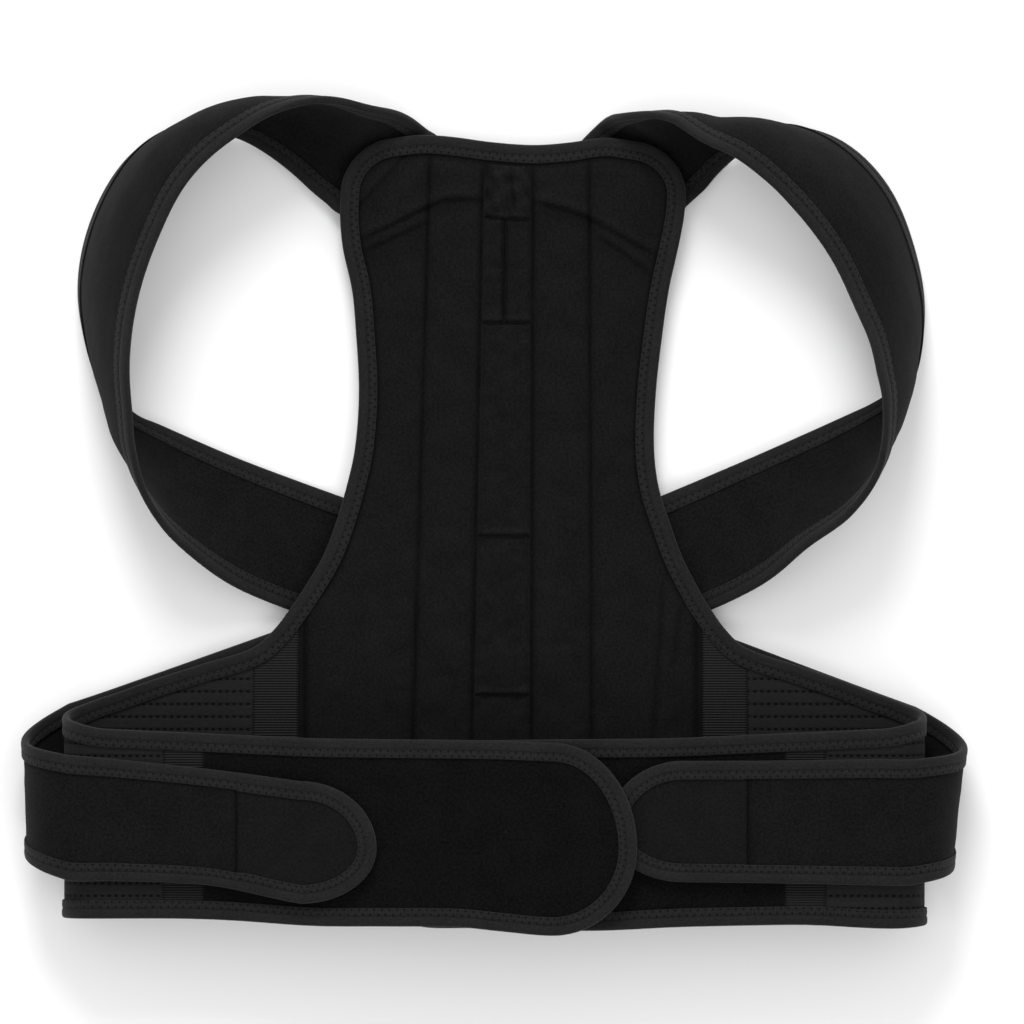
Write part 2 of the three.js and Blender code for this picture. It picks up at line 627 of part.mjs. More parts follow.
// Edge pairs of an arm loop, out of the panel's corner and back to its waist
function loopEdges(side, table, runLevel) {
  const rowsAt = table.map((row, index) => ({ index, ...row }));
  const read = Object.fromEntries(Object.keys(table[0]).map((c) => [c, curve(rowsAt, "index", c)]));
  const corner = Math.abs(panelEdge(side, JOINT_HEIGHT + SIDE_HEIGHT)) + RIM;
  return spread(0, table.length - 1, LOOP_SECTIONS).map((index) => {
    const held = index < table.length / 2 ? UPPER_STRAP : runLevel;
    const bow = Math.max(read.bow(index), 0);
    const half = Math.max((bow * RADIANS) / 2, 0.001);
    const chord = (STRAP_WIDTH * Math.sin(half)) / half;
    const [heading, tilt] = [read.heading(index) * RADIANS, read.tilt(index) * RADIANS];
    const across = new THREE.Vector3(
      -side * Math.cos(tilt) * Math.cos(heading),
      Math.cos(tilt) * Math.sin(heading),
      Math.sin(tilt),
    );
    const edge = new THREE.Vector3(
      side * (corner + read.out(index) * LOOP_REACH),
      PANEL_HEIGHT - read.down(index) * LOOP_DROP,
      LOOP_REST + read.hold(index) * (held - LOOP_REST),
    );
    const first = edge.addScaledVector(across, RIM);
    return { first, second: first.clone().addScaledVector(across, chord), bow };
  });
}

// Edge pairs of the strap from behind the panel round the other side of the belt
function roundEdges(side, on, ways, start) {
  const [upper, depth, slant] = ["top", "depth", "slant"].map((column) =>
    curve(side < 0 ? ROUND_LEFT : ROUND_RIGHT, "along", column),
  );
  return ways.map((way) => {
    const place = on.along(way, start, STRAP_REACH);
    const first = on.at(way, BELT_HEIGHT * upper(place), 0);
    const shift = new THREE.Vector3(-side * slant(place), -depth(place), 0).multiplyScalar(STRAP_WIDTH);
    return { first, second: first.clone().add(shift), bow: 0 };
  });
}

// The hidden end that is sewn to the back of the panel: the first pair moved on in its plane
function sewnEnd({ first, second }, side) {
  const across = second.clone().sub(first).normalize();
  const back = new THREE.Vector3(-across.y, across.x, 0).multiplyScalar(side);
  const move = back.multiplyScalar(SEWN_END);
  return { first: first.clone().add(move), second: second.clone().add(move), bow: 0 };
}

function sections(pairs, side) {
  const middles = pairs.map(({ first, second }) => first.clone().add(second).multiplyScalar(0.5));
  return pairs.map(({ first, second, bow }, i) => {
    const ahead = middles[Math.min(i + 1, pairs.length - 1)].clone();
    const travel = ahead.sub(middles[Math.max(i - 1, 0)]);
    const across = second.clone().sub(first);
    const outward = new THREE.Vector3().crossVectors(travel, across).multiplyScalar(-side).normalize();
    return section(first, second, outward, bow);
  });
}

// side is the side of the arm loop; the strap ends in front on the other side
function shoulderStrap(side, table, runLevel, frontLevel, rise) {
  const far = -side;
  const name = side < 0 ? "_left" : "_right";
  const start = Math.abs(panelEdge(far, 0));
  const radius = (frontLevel - runLevel) / 2;
  const on = track(far, BELT_EXTREME + STRAP_OVERHANG, radius, runLevel, frontLevel, rise);
  const finish = on.front + STRAP_REACH;
  const seam = finish - TAB_LENGTH;
  const loop = loopEdges(side, table, runLevel);
  const ways = [start, (start + on.bend) / 2, ...spread(on.bend, on.front, FOLD_SECTIONS)];
  const frontWays = [on.way(2.15, start, STRAP_REACH), on.way(2.35, start, STRAP_REACH)];
  const body = [...ways, ...frontWays.filter((w) => w < seam - 2), seam];
  const pairs = [sewnEnd(loop[0], side), ...loop, ...roundEdges(far, on, body, start)];
  const cuts = sections(pairs, side);
  const half = CLOTH / 2;
  const places = [0, COVERED, 0.36 * STRAP_WIDTH, 0.64 * STRAP_WIDTH, STRAP_WIDTH - COVERED, STRAP_WIDTH];
  const cloth = loft(
    cuts.map((at) => ({
      upper: places.map((width) => at(width, half)),
      lower: places.map((width) => at(width, -half)),
    })),
    places.map(() => true),
  );
  add("shoulder_strap" + name, cloth, 0x19191a, 0.97);

  const edge = (way, share) => {
    const [pair] = roundEdges(far, on, [way], start);
    return pair.first.y + (pair.second.y - pair.first.y) * share;
  };
  const round = roundEnd(finish, STRAP_END, (way) => edge(way, 0), (way) => edge(way, 1));
  const tabStart = seam + GAP;
  const station = (way) => ({ way, top: edge(way, 0), bottom: edge(way, 1) });
  add("strap_tab" + name, band(on, [station(tabStart), ...round]), 0x1e1e1f, 0.9);

  const tip = [...round.map((r) => [r.way, r.top]), ...round.map((r) => [r.way, r.bottom]).reverse()];
  const line = tip.map(([way, y]) => ({ x: far * way, y }));
  if (far > 0) line.reverse();
  const place = (across, y, off) => on.at(Math.abs(across), y, off);
  const ends = edgeFrames(line, place, false);
  if (far > 0) ends.reverse();
  const firstSide = cuts.map((at) => (beyond, off) => at(-beyond, off));
  const secondSide = cuts.map((at) => (beyond, off) => at(STRAP_WIDTH + beyond, off));
  add("strap_binding" + name, channel([...firstSide, ...ends, ...secondSide.reverse()]), 0x353536, 0.9);
}

shoulderStrap(-1, LOOP_LEFT, LOWER_STRAP, FRONT_LEVEL + FRONT_LAYER, level);
shoulderStrap(1, LOOP_RIGHT, UPPER_STRAP, FRONT_LEVEL + FRONT_LAYER, climb);

// The origin is the bottom centre of the whole
const bounds = new THREE.Box3().setFromObject(group);
const centre = bounds.getCenter(new THREE.Vector3());
group.position.set(-centre.x, -centre.y, -bounds.min.z);

export default group;
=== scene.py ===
"""Looks of the posture corrector: padded panel, belt, straps, tapes and stitching on a pale floor.

Lengths in the tables and functions are millimetres in the part's own plan: across to the right from the
panel's middle, heights up from the belt's lower edge, levels up from the floor. finished() puts them in the
frame, in metres. A "way" is the length along a band of cloth from the middle of the back.
"""

import functools
import math

import bpy
import numpy as np
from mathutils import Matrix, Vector


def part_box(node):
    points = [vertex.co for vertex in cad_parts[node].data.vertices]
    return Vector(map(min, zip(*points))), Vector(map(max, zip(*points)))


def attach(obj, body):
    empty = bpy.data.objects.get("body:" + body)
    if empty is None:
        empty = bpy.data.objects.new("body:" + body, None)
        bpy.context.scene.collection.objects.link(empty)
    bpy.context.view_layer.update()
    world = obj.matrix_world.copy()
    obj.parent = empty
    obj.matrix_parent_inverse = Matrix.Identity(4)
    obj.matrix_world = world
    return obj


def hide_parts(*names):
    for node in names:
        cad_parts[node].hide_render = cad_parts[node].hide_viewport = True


bl_info = {
    "name": "Back Brace Cloth",
    "version": (1, 0, 0),
    "blender": (4, 5, 0),
    "location": "3D Viewport > Sidebar > Brace",
    "description": "Cloth, tapes and stitching of a back brace that lies folded on its back",
    "category": "Object",
}

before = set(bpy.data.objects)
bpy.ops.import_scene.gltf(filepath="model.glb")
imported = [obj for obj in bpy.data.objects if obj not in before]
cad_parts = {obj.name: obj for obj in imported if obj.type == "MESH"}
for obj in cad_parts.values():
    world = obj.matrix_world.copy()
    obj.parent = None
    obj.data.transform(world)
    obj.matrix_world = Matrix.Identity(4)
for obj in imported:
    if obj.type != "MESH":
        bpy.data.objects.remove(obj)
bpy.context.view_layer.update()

# Cloth and tape, as in the part
CLOTH = 2.0
GAP = 0.3
TAPE = 1.0
TAPE_WIDTH = 10.4
SLOT = CLOTH / 2 + GAP
HALF_LAYER = SLOT + TAPE
RIM = GAP + TAPE
LAYER = 2 * HALF_LAYER + GAP
COVERED = TAPE_WIDTH - RIM + 3 * GAP

# Back panel, as in the part
PANEL_HEIGHT = 435.5
HALF_TOP = 97.5
PANEL_CORNER = 27.0
JOINT_HEIGHT = 179.0
CORNER_HEIGHT = PANEL_HEIGHT - PANEL_CORNER
SIDE_HEIGHT = CORNER_HEIGHT - JOINT_HEIGHT
PADDING = 3.0
PADDING_SLOPE = 9.0
TOP_WAVE = 4.4

# Belt and straps, as in the part
BELT_HEIGHT = 102.0
BELT_FOLD = 19.0
WEBBING_WIDTH = 26.0
FRONT_WEBBING_WIDTH = 22.5
FRONT_ELASTIC = 36.0
FRONT_REACH = 299.6
BELT_END = 46.0
FRONT_RISE = 10.4
STRAP_WIDTH = 67.4
STRAP_OVERHANG = 23.0
STRAP_REACH = 172.0
STRAP_END = 41.0
TAB_LENGTH = 77.0
LOOP_REACH = 150.0
LOOP_DROP = 200.0
LOOP_REST = 3.2
SEWN_END = 26.0
LOWER_STRAP = HALF_LAYER
UPPER_STRAP = LOWER_STRAP + LAYER
PANEL_LEVEL = UPPER_STRAP + LAYER
FRONT_LEVEL = PANEL_LEVEL + 2 * BELT_FOLD
FRONT_LAYER = LAYER + GAP
BELT_SPAN = 484.8
BELT_EXTREME = BELT_SPAN / 2 - HALF_LAYER
CLIMB = (-0.8 * BELT_EXTREME, 0.18 * BELT_EXTREME)
TIP_DROP = 0.55

# Angle by which the cloth in a round end stops short of the tip, under the tape
TIP_SHORT = 0.06
# Step along a way for its direction
SMALL_STEP = 0.01
# The panel's seams: share of the padding that they take, half width, and how far the cover is sewn down
SEAM_SINK = 0.62
SEAM_WIDTH = 1.7
SEWN_BESIDE = 2.2
# Puckers beside the seams
PUCKER_PITCH = 7.5
PUCKER_REACH = 5
# Least and most that the simulation may move the cover
SWELL_LIMITS = (-0.6, 1.0)
# The slit between the flaps, as a share of the middle channel, and the patches' gap to the panel
SLIT = 0.45
PATCH_LIFT = 0.3
# The slit's foot and head, as shares of the panel's height
SLIT_SHARES = (0.76, 0.905)
# How much the tongue and the patches ripple
TONGUE_ROUGH = 0.4
PATCH_ROUGH = 0.12
# Grids: the panel's rows below its corners and its columns, points across the other pieces, and the step
# along the belt's edge
PANEL_GRID = (250, 150)
PATCH_COLUMNS = 44
WING_COLUMNS = 46
STRAP_COLUMNS = 34
LINE_STEP = 1.9
# Bells beside a line, as height, place and width: relief, and light lost or gained
RIDGE_RELIEF = [(1, 2.4, 2.2), (-0.9, -1.2, 1.7)]
RIDGE_SHADE = [(1, 0, 1.3), (0.3, -3.5, 3)]
RIDGE_LIGHT = [(0.16, 4, 3)]
CREASE_RELIEF = [(0.7, 0, 2.2), (-0.35, 4, 3)]
CREASE_SHADE = [(0.5, 3, 1.6)]
SEAM_SHADE = [(0.72, 0, 1.3), (0.18, 0, 4.5)]
TAPE_SHADE = [(0.8, -0.8, 1.6)]
WEBBING_SHADE = [(0.85, 3, 2.4)]
FOOT_LIP = [(0.5, 1.6, 1.5)]
END_LIP = [(0.25, 1.6, 1.3)]

# Sides of the panel above the joint: up, left, right
PANEL_SIDE = [
    (0, 1.124, 1.193), (0.1, 0.981, 1.072), (0.18, 0.906, 1.003), (0.27, 0.843, 0.935),
    (0.37, 0.791, 0.906), (0.51, 0.768, 0.917), (0.66, 0.786, 0.957), (0.76, 0.808, 0.992),
    (0.86, 0.86, 1.043), (0.94, 0.877, 1.078), (1, 0.872, 1.09),
]
# Waves of the panel's top edge: across, rise
TOP_EDGE = [
    (0, -0.4), (0.14, 0.3), (0.23, 0.75), (0.33, 0.45), (0.43, -0.15),
    (0.56, -0.55), (0.67, -0.2), (0.77, 0.4), (0.86, -0.1), (1, -0.6),
]
# Seams between the channels: place at the top and at the foot, in half top widths
SEAMS = [(-0.37, -0.5), (-0.066, -0.152), (0.222, 0.212), (0.545, 0.566)]
# Edges of the belt's wings: along, flare, left, right
WING = [
    (0, 1, 0, 0), (0.04, 0.92, 0, 0), (0.11, 0.785, 0, 0), (0.22, 0.642, 0, 0),
    (0.5, 0.51, 0.01, -0.01), (0.75, 0.394, 0.016, -0.02), (1, 0.27, 0.021, -0.03),
    (1.5, 0.147, 0.021, -0.02), (2, 0.052, 0.022, -0.033), (2.15, 0.025, 0.022, -0.013),
    (2.25, 0.008, 0.012, -0.015), (2.4, -0.018, -0.017, -0.025), (2.54, -0.025, -0.019, -0.044),
    (2.67, -0.03, -0.022, -0.04), (2.75, -0.035, -0.045, -0.03), (2.84, -0.049, -0.069, -0.03),
    (3, -0.049, -0.069, -0.03),
]
# Straps round the belt: along, top, depth, slant
ROUND = {
    -1: [
        (0, 1.616, 0.945, 0.327), (0.6, 1.345, 0.97, 0.24), (1, 1.171, 0.98, 0.08),
        (1.5, 0.984, 0.94, 0.03), (2, 0.896, 1.007, 0.02), (2.15, 0.874, 0.975, 0),
        (2.47, 0.817, 0.929, 0), (2.75, 0.754, 0.975, 0), (3, 0.7, 0.975, 0),
    ],
    1: [
        (0, 1.591, 0.945, 0.327), (0.6, 1.325, 0.97, 0.24), (1, 1.152, 0.99, 0.12),
        (1.5, 0.946, 0.984, 0.11), (2, 0.872, 1.007, 0.05), (2.15, 0.872, 1.007, 0),
        (2.47, 0.864, 0.979, 0), (3, 0.862, 0.958, 0),
    ],
}
# Arm loops: out, down, heading, tilt, bow, hold
LOOP = {
    -1: [
        (0, 0.202, 40, 0, 0, 1), (0.03, 0.187, 42, 0, 30, 0.95), (0.056, 0.168, 50, 12, 55, 0.7),
        (0.112, 0.134, 54, 30, 70, 0.5), (0.182, 0.083, 58, 40, 90, 0.4),
        (0.275, 0.029, 58, 57, 112, 0.3), (0.373, -0.015, 41, 74, 122, 0.2),
        (0.505, -0.04, -30, 75, 112, 0.1), (0.71, -0.008, -45, 61, 85, 0),
        (0.85, 0.09, -40, 54, 60, 0), (0.95, 0.25, -23, 55, 50, 0), (0.984, 0.42, -11, 60, 50, 0),
        (0.94, 0.574, -9, 70, 55, 0), (0.87, 0.69, -22, 78, 65, 0), (0.787, 0.76, -84, 76, 80, 0.1),
        (0.69, 0.79, -105, 60, 65, 0.3), (0.541, 0.838, -111, 42, 45, 0.6),
        (0.373, 0.89, -110, 26, 20, 0.9), (0.187, 0.942, -111, 10, 0, 1), (-0.026, 1, -112, 0, 0, 1),
    ],
    1: [
        (0, 0.179, 30, 0, 0, 1), (0.045, 0.148, 35, 0, 30, 0.95), (0.065, 0.134, 38, 8, 50, 0.8),
        (0.082, 0.12, 39, 20, 65, 0.6), (0.12, 0.084, 40, 37, 90, 0.4), (0.16, 0.056, 38, 54, 112, 0.3),
        (0.225, 0.014, -7, 76, 125, 0.2), (0.36, -0.04, -58, 61, 108, 0.1),
        (0.52, -0.028, -60, 47, 75, 0), (0.66, 0.035, -57, 40, 55, 0), (0.78, 0.146, -52, 39, 50, 0),
        (0.85, 0.289, -47, 44, 50, 0), (0.89, 0.437, -39, 55, 50, 0), (0.87, 0.58, -35, 65, 55, 0),
        (0.815, 0.68, -38, 77, 65, 0), (0.72, 0.727, -100, 75, 80, 0.1),
        (0.623, 0.76, -113, 58, 65, 0.3), (0.463, 0.813, -114, 41, 45, 0.6),
        (0.287, 0.871, -112, 32, 25, 0.8), (0.101, 0.93, -113, 14, 0, 1), (-0.09, 0.99, -113, 0, 0, 1),
    ],
}
# Upper half of the tape's section: distance beyond the cloth's edge, height above its middle
TAPE_SECTION = [
    (-9.1, 1.32), (-9.08, 1.75), (-8.85, 2.05), (-8.3, 2.18), (-7.5, 2.08), (-6.6, 2.2), (-5.7, 2.1),
    (-5.1, 2.14), (-4.7, 1.98), (-4.4, 1.78), (-4.1, 1.96), (-3.5, 2.2), (-2.6, 2.3), (-1.5, 2.3),
    (-0.5, 2.22), (0.3, 1.98), (0.85, 1.5), (1.17, 0.85), (1.3, 0),
]
# The slot in it for the cloth
TAPE_SLOT = [(-9.0, -1.3), (0.1, -1.25), (0.1, 1.25), (-9.0, 1.3)]
# Distances of the tape's groove and stitches from its lip, and the stitches' swing, in metres
GROOVE = 0.0054
STITCH_CENTRE = 0.0031
STITCH_SWING = 0.0013
# The webbing's yarns, and where the elastic's rows of holes start, far enough below the belt to stay
# positive, in metres
YARN_PITCH = 0.0011
ROW_START = 1.0051
# Patches over the stay: node, low and high as shares of the panel, from and to of the channel
STAY_PIECES = [
    ("stay_tongue", 0.904, 0.974, 0.0, 1.0),
    ("stay_flap_left", 0.768, 0.901, 0.0, 0.435),
    ("stay_flap_right", 0.768, 0.901, 0.465, 1.0),
    ("stay_pocket", 0.493, 0.765, 0.0, 1.0),
    ("stay_pocket_lower", 0.288, 0.489, 0.0, 1.0),
]
# Distance of the patches from the seams
PATCH_INSET = 1.4
# Ridges where the straps' ends show through the panel: points (across, height), and how high they stand
RIDGES = [
    ([(-74, 382), (-53, 391), (-39, 397), (-28, 402), (-9, 403.5)], 1.0),
    ([(-72.5, 375), (-53, 383.5), (-39, 389)], 0.7),
    ([(24, 404), (42, 398), (51, 394), (59, 389.5), (71, 383), (90, 373.5)], 1.0),
    ([(59, 381.5), (70.5, 375), (88, 362.5)], 0.7),
    ([(-81, 396), (-75, 402), (-63, 414), (-51, 426), (-39, 435)], 0.35),
]
# Slanted creases in the right half, near the belt: lower end, upper end
CREASES = [((86, 102), (91, 178)), ((97.5, 143), (101, 172))]
# Left and right, as the names of nodes end
ENDS = {-1: "_left", 1: "_right"}
# Pieces of a wing: node, slot, cloth, thickness, and the waves' rise, seed, size and stretch along the band
WING_PIECES = [
    ("back_webbing", "webbing", "webbing", 2.3, (0.08, 60, 40, 1)),
    ("side_elastic", "elastic", "elastic", 1.9, (0.15, 61, 30, 2)),
    ("front_webbing", "webbing", "webbing", 2.3, (0.08, 62, 40, 1)),
    ("front_pad", "velvet_loop", "velvet", 2.0, (0.2, 63, 44, 1)),
]
# Woven cloths: name, roughness, sheen, pitches along and across in the panel's, fuzz, ends of the mottle,
# darkest and lightest shade, scale and amount of lint, painted shade in folds, depth of the relief in metres
WOVEN = {
    "panel": ("Brushed knit", 0.95, 0.03, (1, 1.2), 0.7, (0.34, 0.66), (0.6, 1.45), (95, 0.012), 0.8, 0.0002),
    "strap": ("Loop cloth", 0.97, 0.04, (0.8, 0.8), 0.85, (0.36, 0.64), (0.5, 1.5), (110, 0.014), 0.8, 3e-4),
    "velvet": ("Velvet loop", 1, 0.03, (11 / 9, 1), 0.92, (0.36, 0.64), (0.4, 1.6), (120, 0.02), 0, 0.00035),
    "tab": ("Tab cloth", 0.9, 0.03, (7 / 9, 7 / 9), 0.5, (0.36, 0.64), (0.65, 1.35), None, 0.8, 0.0002),
}
# Shade of lint, in the cloth's own colour
LINT_SHADE = 12.0
# Studio: lamps by name, place, size and power, and the camera's frame, in metres
WORLD_STRENGTH = 0.95
LAMPS = [("head_light", (-0.3, 2.6, 1.9), 1.4, 70), ("foot_light", (0.6, -2.2, 2.8), 1.8, 14)]
PHOTO_WIDTH = 1024 * 0.00056
PHOTO_MIDDLE = (0.0098, 0.0012)
PHOTO_LEVEL = 0.035
CAMERA_DISTANCE = 8.0

# The part's zero in the frame, in millimetres
low_left, high_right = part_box("belt_binding_left")[0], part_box("belt_binding_right")[1]
panel_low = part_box("back_panel")[0]
ZERO = np.array(
    [
        500 * (low_left.x + high_right.x),
        1000 * panel_low.y,
        1000 * panel_low.z - (PANEL_LEVEL - CLOTH / 2),
    ]
)


def smoothstep(value, low, high):
    """0 below low, 1 above high, and 3t² - 2t³ between them."""
    t = np.clip((np.asarray(value, float) - low) / (high - low), 0, 1)
    return t * t * (3 - 2 * t)


def smootherstep(value, low, high):
    """0 below low, 1 above high, and 6t⁵ - 15t⁴ + 10t³ between them."""
    t = np.clip((np.asarray(value, float) - low) / (high - low), 0, 1)
    return t**3 * (t * (6 * t - 15) + 10)


def bell(away, width):
    """Bell curve: e to the power of less the square of away / width."""
    return np.exp(-((away / width) ** 2))


def bells(away, table):
    """Sum of bells, each by its height, place and width."""
    return sum(height * bell(away - place, width) for height, place, width in table)


def spaced(start, end, pitch):
    """Evenly spaced values from start to end, about pitch apart."""
    return np.linspace(start, end, max(int(round(abs(end - start) / pitch)), 1) + 1)


def rounding(start, radius, count, short=0.0):
    """Places over a quarter round: start plus radius times the sine of even angles, the last a right angle
    less short. The first, start itself, is left out."""
    return start + radius * np.sin(np.linspace(0, math.pi / 2 - short, count)[1:])


def through(table, column, where):
    """Smooth curve through a table: cubic Hermite pieces whose slope at a row is its neighbours' slope."""
    rows = np.array(table, float)
    at, value = rows[:, 0], rows[:, column]
    before, after = np.r_[0, np.arange(len(at) - 1)], np.r_[np.arange(1, len(at)), len(at) - 1]
    slope = (value[after] - value[before]) / (at[after] - at[before])
    where = np.clip(np.asarray(where, float), at[0], at[-1])
    i = np.clip(np.searchsorted(at, where, side="right") - 1, 0, len(at) - 2)
    step = at[i + 1] - at[i]
    t = (where - at[i]) / step
    rise = value[i + 1] - value[i]
    p, q = slope[i] * step, slope[i + 1] * step
    return value[i] + t * (p + t * (3 * rise - 2 * p - q + t * (p + q - 2 * rise)))


def unit(vectors):
    """Vectors scaled to length 1."""
    return vectors / np.maximum(np.linalg.norm(vectors, axis=-1, keepdims=True), 1e-9)


def ripple(x, y, seed, size):
    """Smooth random relief about -1 to 1: a sum of six sine waves of random direction near one size."""
    random = np.random.default_rng(seed)
    total = 0
    for _ in range(6):
        angle, phase = random.uniform(0, 2 * math.pi, 2)
        wave = 2 * math.pi / (size * random.uniform(0.7, 1.5))
        total = total + np.sin(wave * (x * math.cos(angle) + y * math.sin(angle)) + phase)
    return total / 3


def path_length(points):
    """Length along a line of points, from 0 at its first point."""
    return np.r_[0, np.cumsum(np.linalg.norm(np.diff(points, axis=0), axis=1))]


def both(upper, lower):
    """Closed profiles: each row's upper values, then its lower ones in reverse."""
    return np.concatenate([upper, lower[:, ::-1]], 1)


def there_and_back(across):
    """Distances across for both faces, and for the first point once more."""
    return np.concatenate([across, across[:, ::-1], across[:, :1]], 1)


def finished(name, rings, along, across, material, ring=False, fold=None):
    """Solid through closed profiles, one after another: neighbours are joined by quads, the ends are closed
    by quads across the profile, and the faces are turned to make the enclosed volume positive. along and
    across, in millimetres, become the UV map in metres; fold is each point's painted shade, the loss of
    light that the materials paint into the colour."""
    count, around = rings.shape[:2]
    spans = count if ring else count - 1
    i, j = np.meshgrid(np.arange(spans), np.arange(around), indexing="ij")
    corners = [(i, j), (i, j + 1), (i + 1, j + 1), (i + 1, j)]
    faces = np.stack([(a % count) * around + b % around for a, b in corners], -1).reshape(-1, 4)
    u = np.broadcast_to(np.asarray(along, float).reshape(-1, 1), (spans + 1, around + 1))
    v = np.broadcast_to(np.asarray(across, float), (spans + 1, around + 1))
    uv = np.stack([np.stack([u[a, b], v[a, b]], -1) for a, b in corners], -2).reshape(-1, 4, 2)
    if not ring:
        k = np.arange(around // 2 - 1)
        cap = np.stack([k, around - 1 - k, around - 2 - k, k + 1], -1)
        faces = np.concatenate([faces, cap, cap[:, ::-1] + (count - 1) * around])
        flat = np.zeros((len(cap), 4, 2))
        uv = np.concatenate([uv, flat + [u[0, 0], v[0, 0]], flat + [u[-1, 0], v[-1, 0]]])
    points = (rings.reshape(-1, 3) + ZERO) / 1000
    a, b, c, d = (points[faces[:, n]] for n in range(4))
    if np.einsum("ij,ij->", a, np.cross(b, c) + np.cross(c, d)) < 0:
        faces, uv = faces[:, ::-1], uv[:, ::-1]
    mesh = bpy.data.meshes.new(name)
    mesh.from_pydata(points, [], faces)
    layer = mesh.uv_layers.new(name="UVMap")
    layer.uv.foreach_set("vector", (uv / 1000).astype(np.float32).ravel())
    # The fold attribute is painted shade: the materials darken their colour by it.
    if fold is not None:
        lost = mesh.attributes.new("fold", "FLOAT", "POINT")
        lost.data.foreach_set("value", np.ascontiguousarray(fold, np.float32).ravel())
    mesh.polygons.foreach_set("use_smooth", np.ones(len(faces), bool))
    mesh.materials.append(material)
    mesh.update()
    piece = bpy.data.objects.new(name, mesh)
    bpy.context.collection.objects.link(piece)
    return piece


def worn(piece, slot, *nodes):
    """Ties a piece to the frame: it rides on the root and stands for the nodes, which are hidden. slot is not
    used.
    """
    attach(piece, "root")
    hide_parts(*nodes)
    return piece


# The belt's and the straps' way round the sides


class Track:
    """The way of a band round one side: flat on the back, half round at the fold, flat in front."""

    def __init__(self, side, extreme, radius, level, front_level, rise):
        self.side, self.radius, self.rise = side, radius, rise
        self.level, self.front_level = level, front_level
        self.bend = extreme - radius
        self.front = self.bend + math.pi * radius

    def middle(self, way):
        """Across and level of the middle surface: way itself on the back, a half circle, then back."""
        angle = np.clip((way - self.bend) / self.radius, 0, math.pi)
        turn = (self.front_level - self.level) / 2
        across = np.where(way <= self.bend, way, self.bend + self.radius * np.sin(angle))
        across = np.where(way > self.front, self.bend - (way - self.front), across)
        level = self.level + turn * (1 - np.cos(angle))
        lift = np.where(way > self.front, self.rise(self.side * across), 0)
        return np.stack([across, level + lift], -1)

    def at(self, way, y, off):
        """Points at a way and a height, off the middle surface along its normal towards the wearer."""
        way, y, off = np.broadcast_arrays(*(np.asarray(value, float) for value in (way, y, off)))
        along = unit(self.middle(way + SMALL_STEP) - self.middle(way - SMALL_STEP))
        here = self.middle(way)
        x = self.side * (here[..., 0] - off * along[..., 1])
        return np.stack([x, y, here[..., 1] + off * along[..., 0]], -1)

    def place(self, way, start, reach):
        """0 to 1 on the back, to 2 round the fold and to 3 in front."""
        back = (way - start) / (self.bend - start)
        fold = 1 + (way - self.bend) / (self.front - self.bend)
        beyond = np.where(way <= self.front, fold, 2 + (way - self.front) / reach)
        return np.where(way <= self.bend, back, beyond)


def climb(x):
    """How far the upper belt end stands above the lower one at a place across."""
    return FRONT_RISE * smootherstep(x, *CLIMB)


def level_front(x):
    """No rise."""
    return np.zeros_like(x)


BELT = {
    side: Track(side, BELT_EXTREME, BELT_FOLD, PANEL_LEVEL, FRONT_LEVEL, rise)
    for side, rise in ((-1, climb), (1, level_front))
}


def on_belt(across, y, off):
    """Points of the whole belt by their place in the flat, right of the middle above 0, left below it."""
    right, left = BELT[1].at(np.abs(across), y, off), BELT[-1].at(np.abs(across), y, off)
    side = np.broadcast_to(np.asarray(across) < 0, right.shape[:-1])
    return np.where(side[..., None], left, right)


def rounded(top, bottom, beyond, reach):
    """Upper and lower edge of a round end: beyond its start, both close towards the tip as the quarter of an
    ellipse that reaches so far."""
    share = np.arcsin(np.clip(beyond / reach, 0, 1))
    tip = top + (bottom - top) * TIP_DROP
    return tip + (top - tip) * np.cos(share), tip + (bottom - tip) * np.cos(share)


def band(ways, top, bottom, count):
    """Grid of a band between two edges: shares across it, ways and heights."""
    share = np.linspace(0, 1, count)
    y = top[:, None] + (bottom - top)[:, None] * share
    return share, np.repeat(ways[:, None], count, 1), y


def flat_cut(ways, top, bottom):
    """Flat size and area of a band before folding, in metres: its greatest height, its length, and the
    trapezoid sum of its heights along its length."""
    height = top - bottom
    area = np.sum((height[1:] + height[:-1]) * np.diff(ways)) / 2
    return (float(height.max()) / 1000, float(ways[-1] - ways[0]) / 1000), float(area) / 1e6


# Back panel


def seam_at(seam, height):
    """Place across of a seam at a height: a straight line from foot to top."""
    top, foot = SEAMS[seam]
    return HALF_TOP * (foot + (top - foot) * np.asarray(height) / PANEL_HEIGHT)


def panel_edge(side, height):
    """Place across of the panel's edge: the side's curve, then a quarter circle at the corner."""
    up = np.maximum((height - JOINT_HEIGHT) / SIDE_HEIGHT, 0)
    straight = HALF_TOP * through(PANEL_SIDE, 1 if side < 0 else 2, up)
    over = np.clip(height - CORNER_HEIGHT, 0, PANEL_CORNER)
    return side * (straight - PANEL_CORNER + np.sqrt(PANEL_CORNER**2 - over**2))


def half_width(side, height):
    """Distance of the panel's edge from its middle at one height."""
    return abs(float(panel_edge(side, np.array(float(height)))))


def waved(x, height):
    """Height with the top edge's waves let in over the panel's upper part."""
    left, right = -half_width(-1, CORNER_HEIGHT), half_width(1, CORNER_HEIGHT)
    fade = smoothstep(height, PANEL_HEIGHT - 3 * PANEL_CORNER, PANEL_HEIGHT)
    return height + TOP_WAVE * fade * through(TOP_EDGE, 1, (x - left) / (right - left))


def panel_grid(heights, columns):
    """Places across and plain heights of a grid on the panel, of even columns from edge to edge."""
    left, right = (panel_edge(side, heights)[:, None] for side in (-1, 1))
    x = left + (right - left) * np.linspace(0, 1, columns)
    return x, np.repeat(heights[:, None], columns, 1)


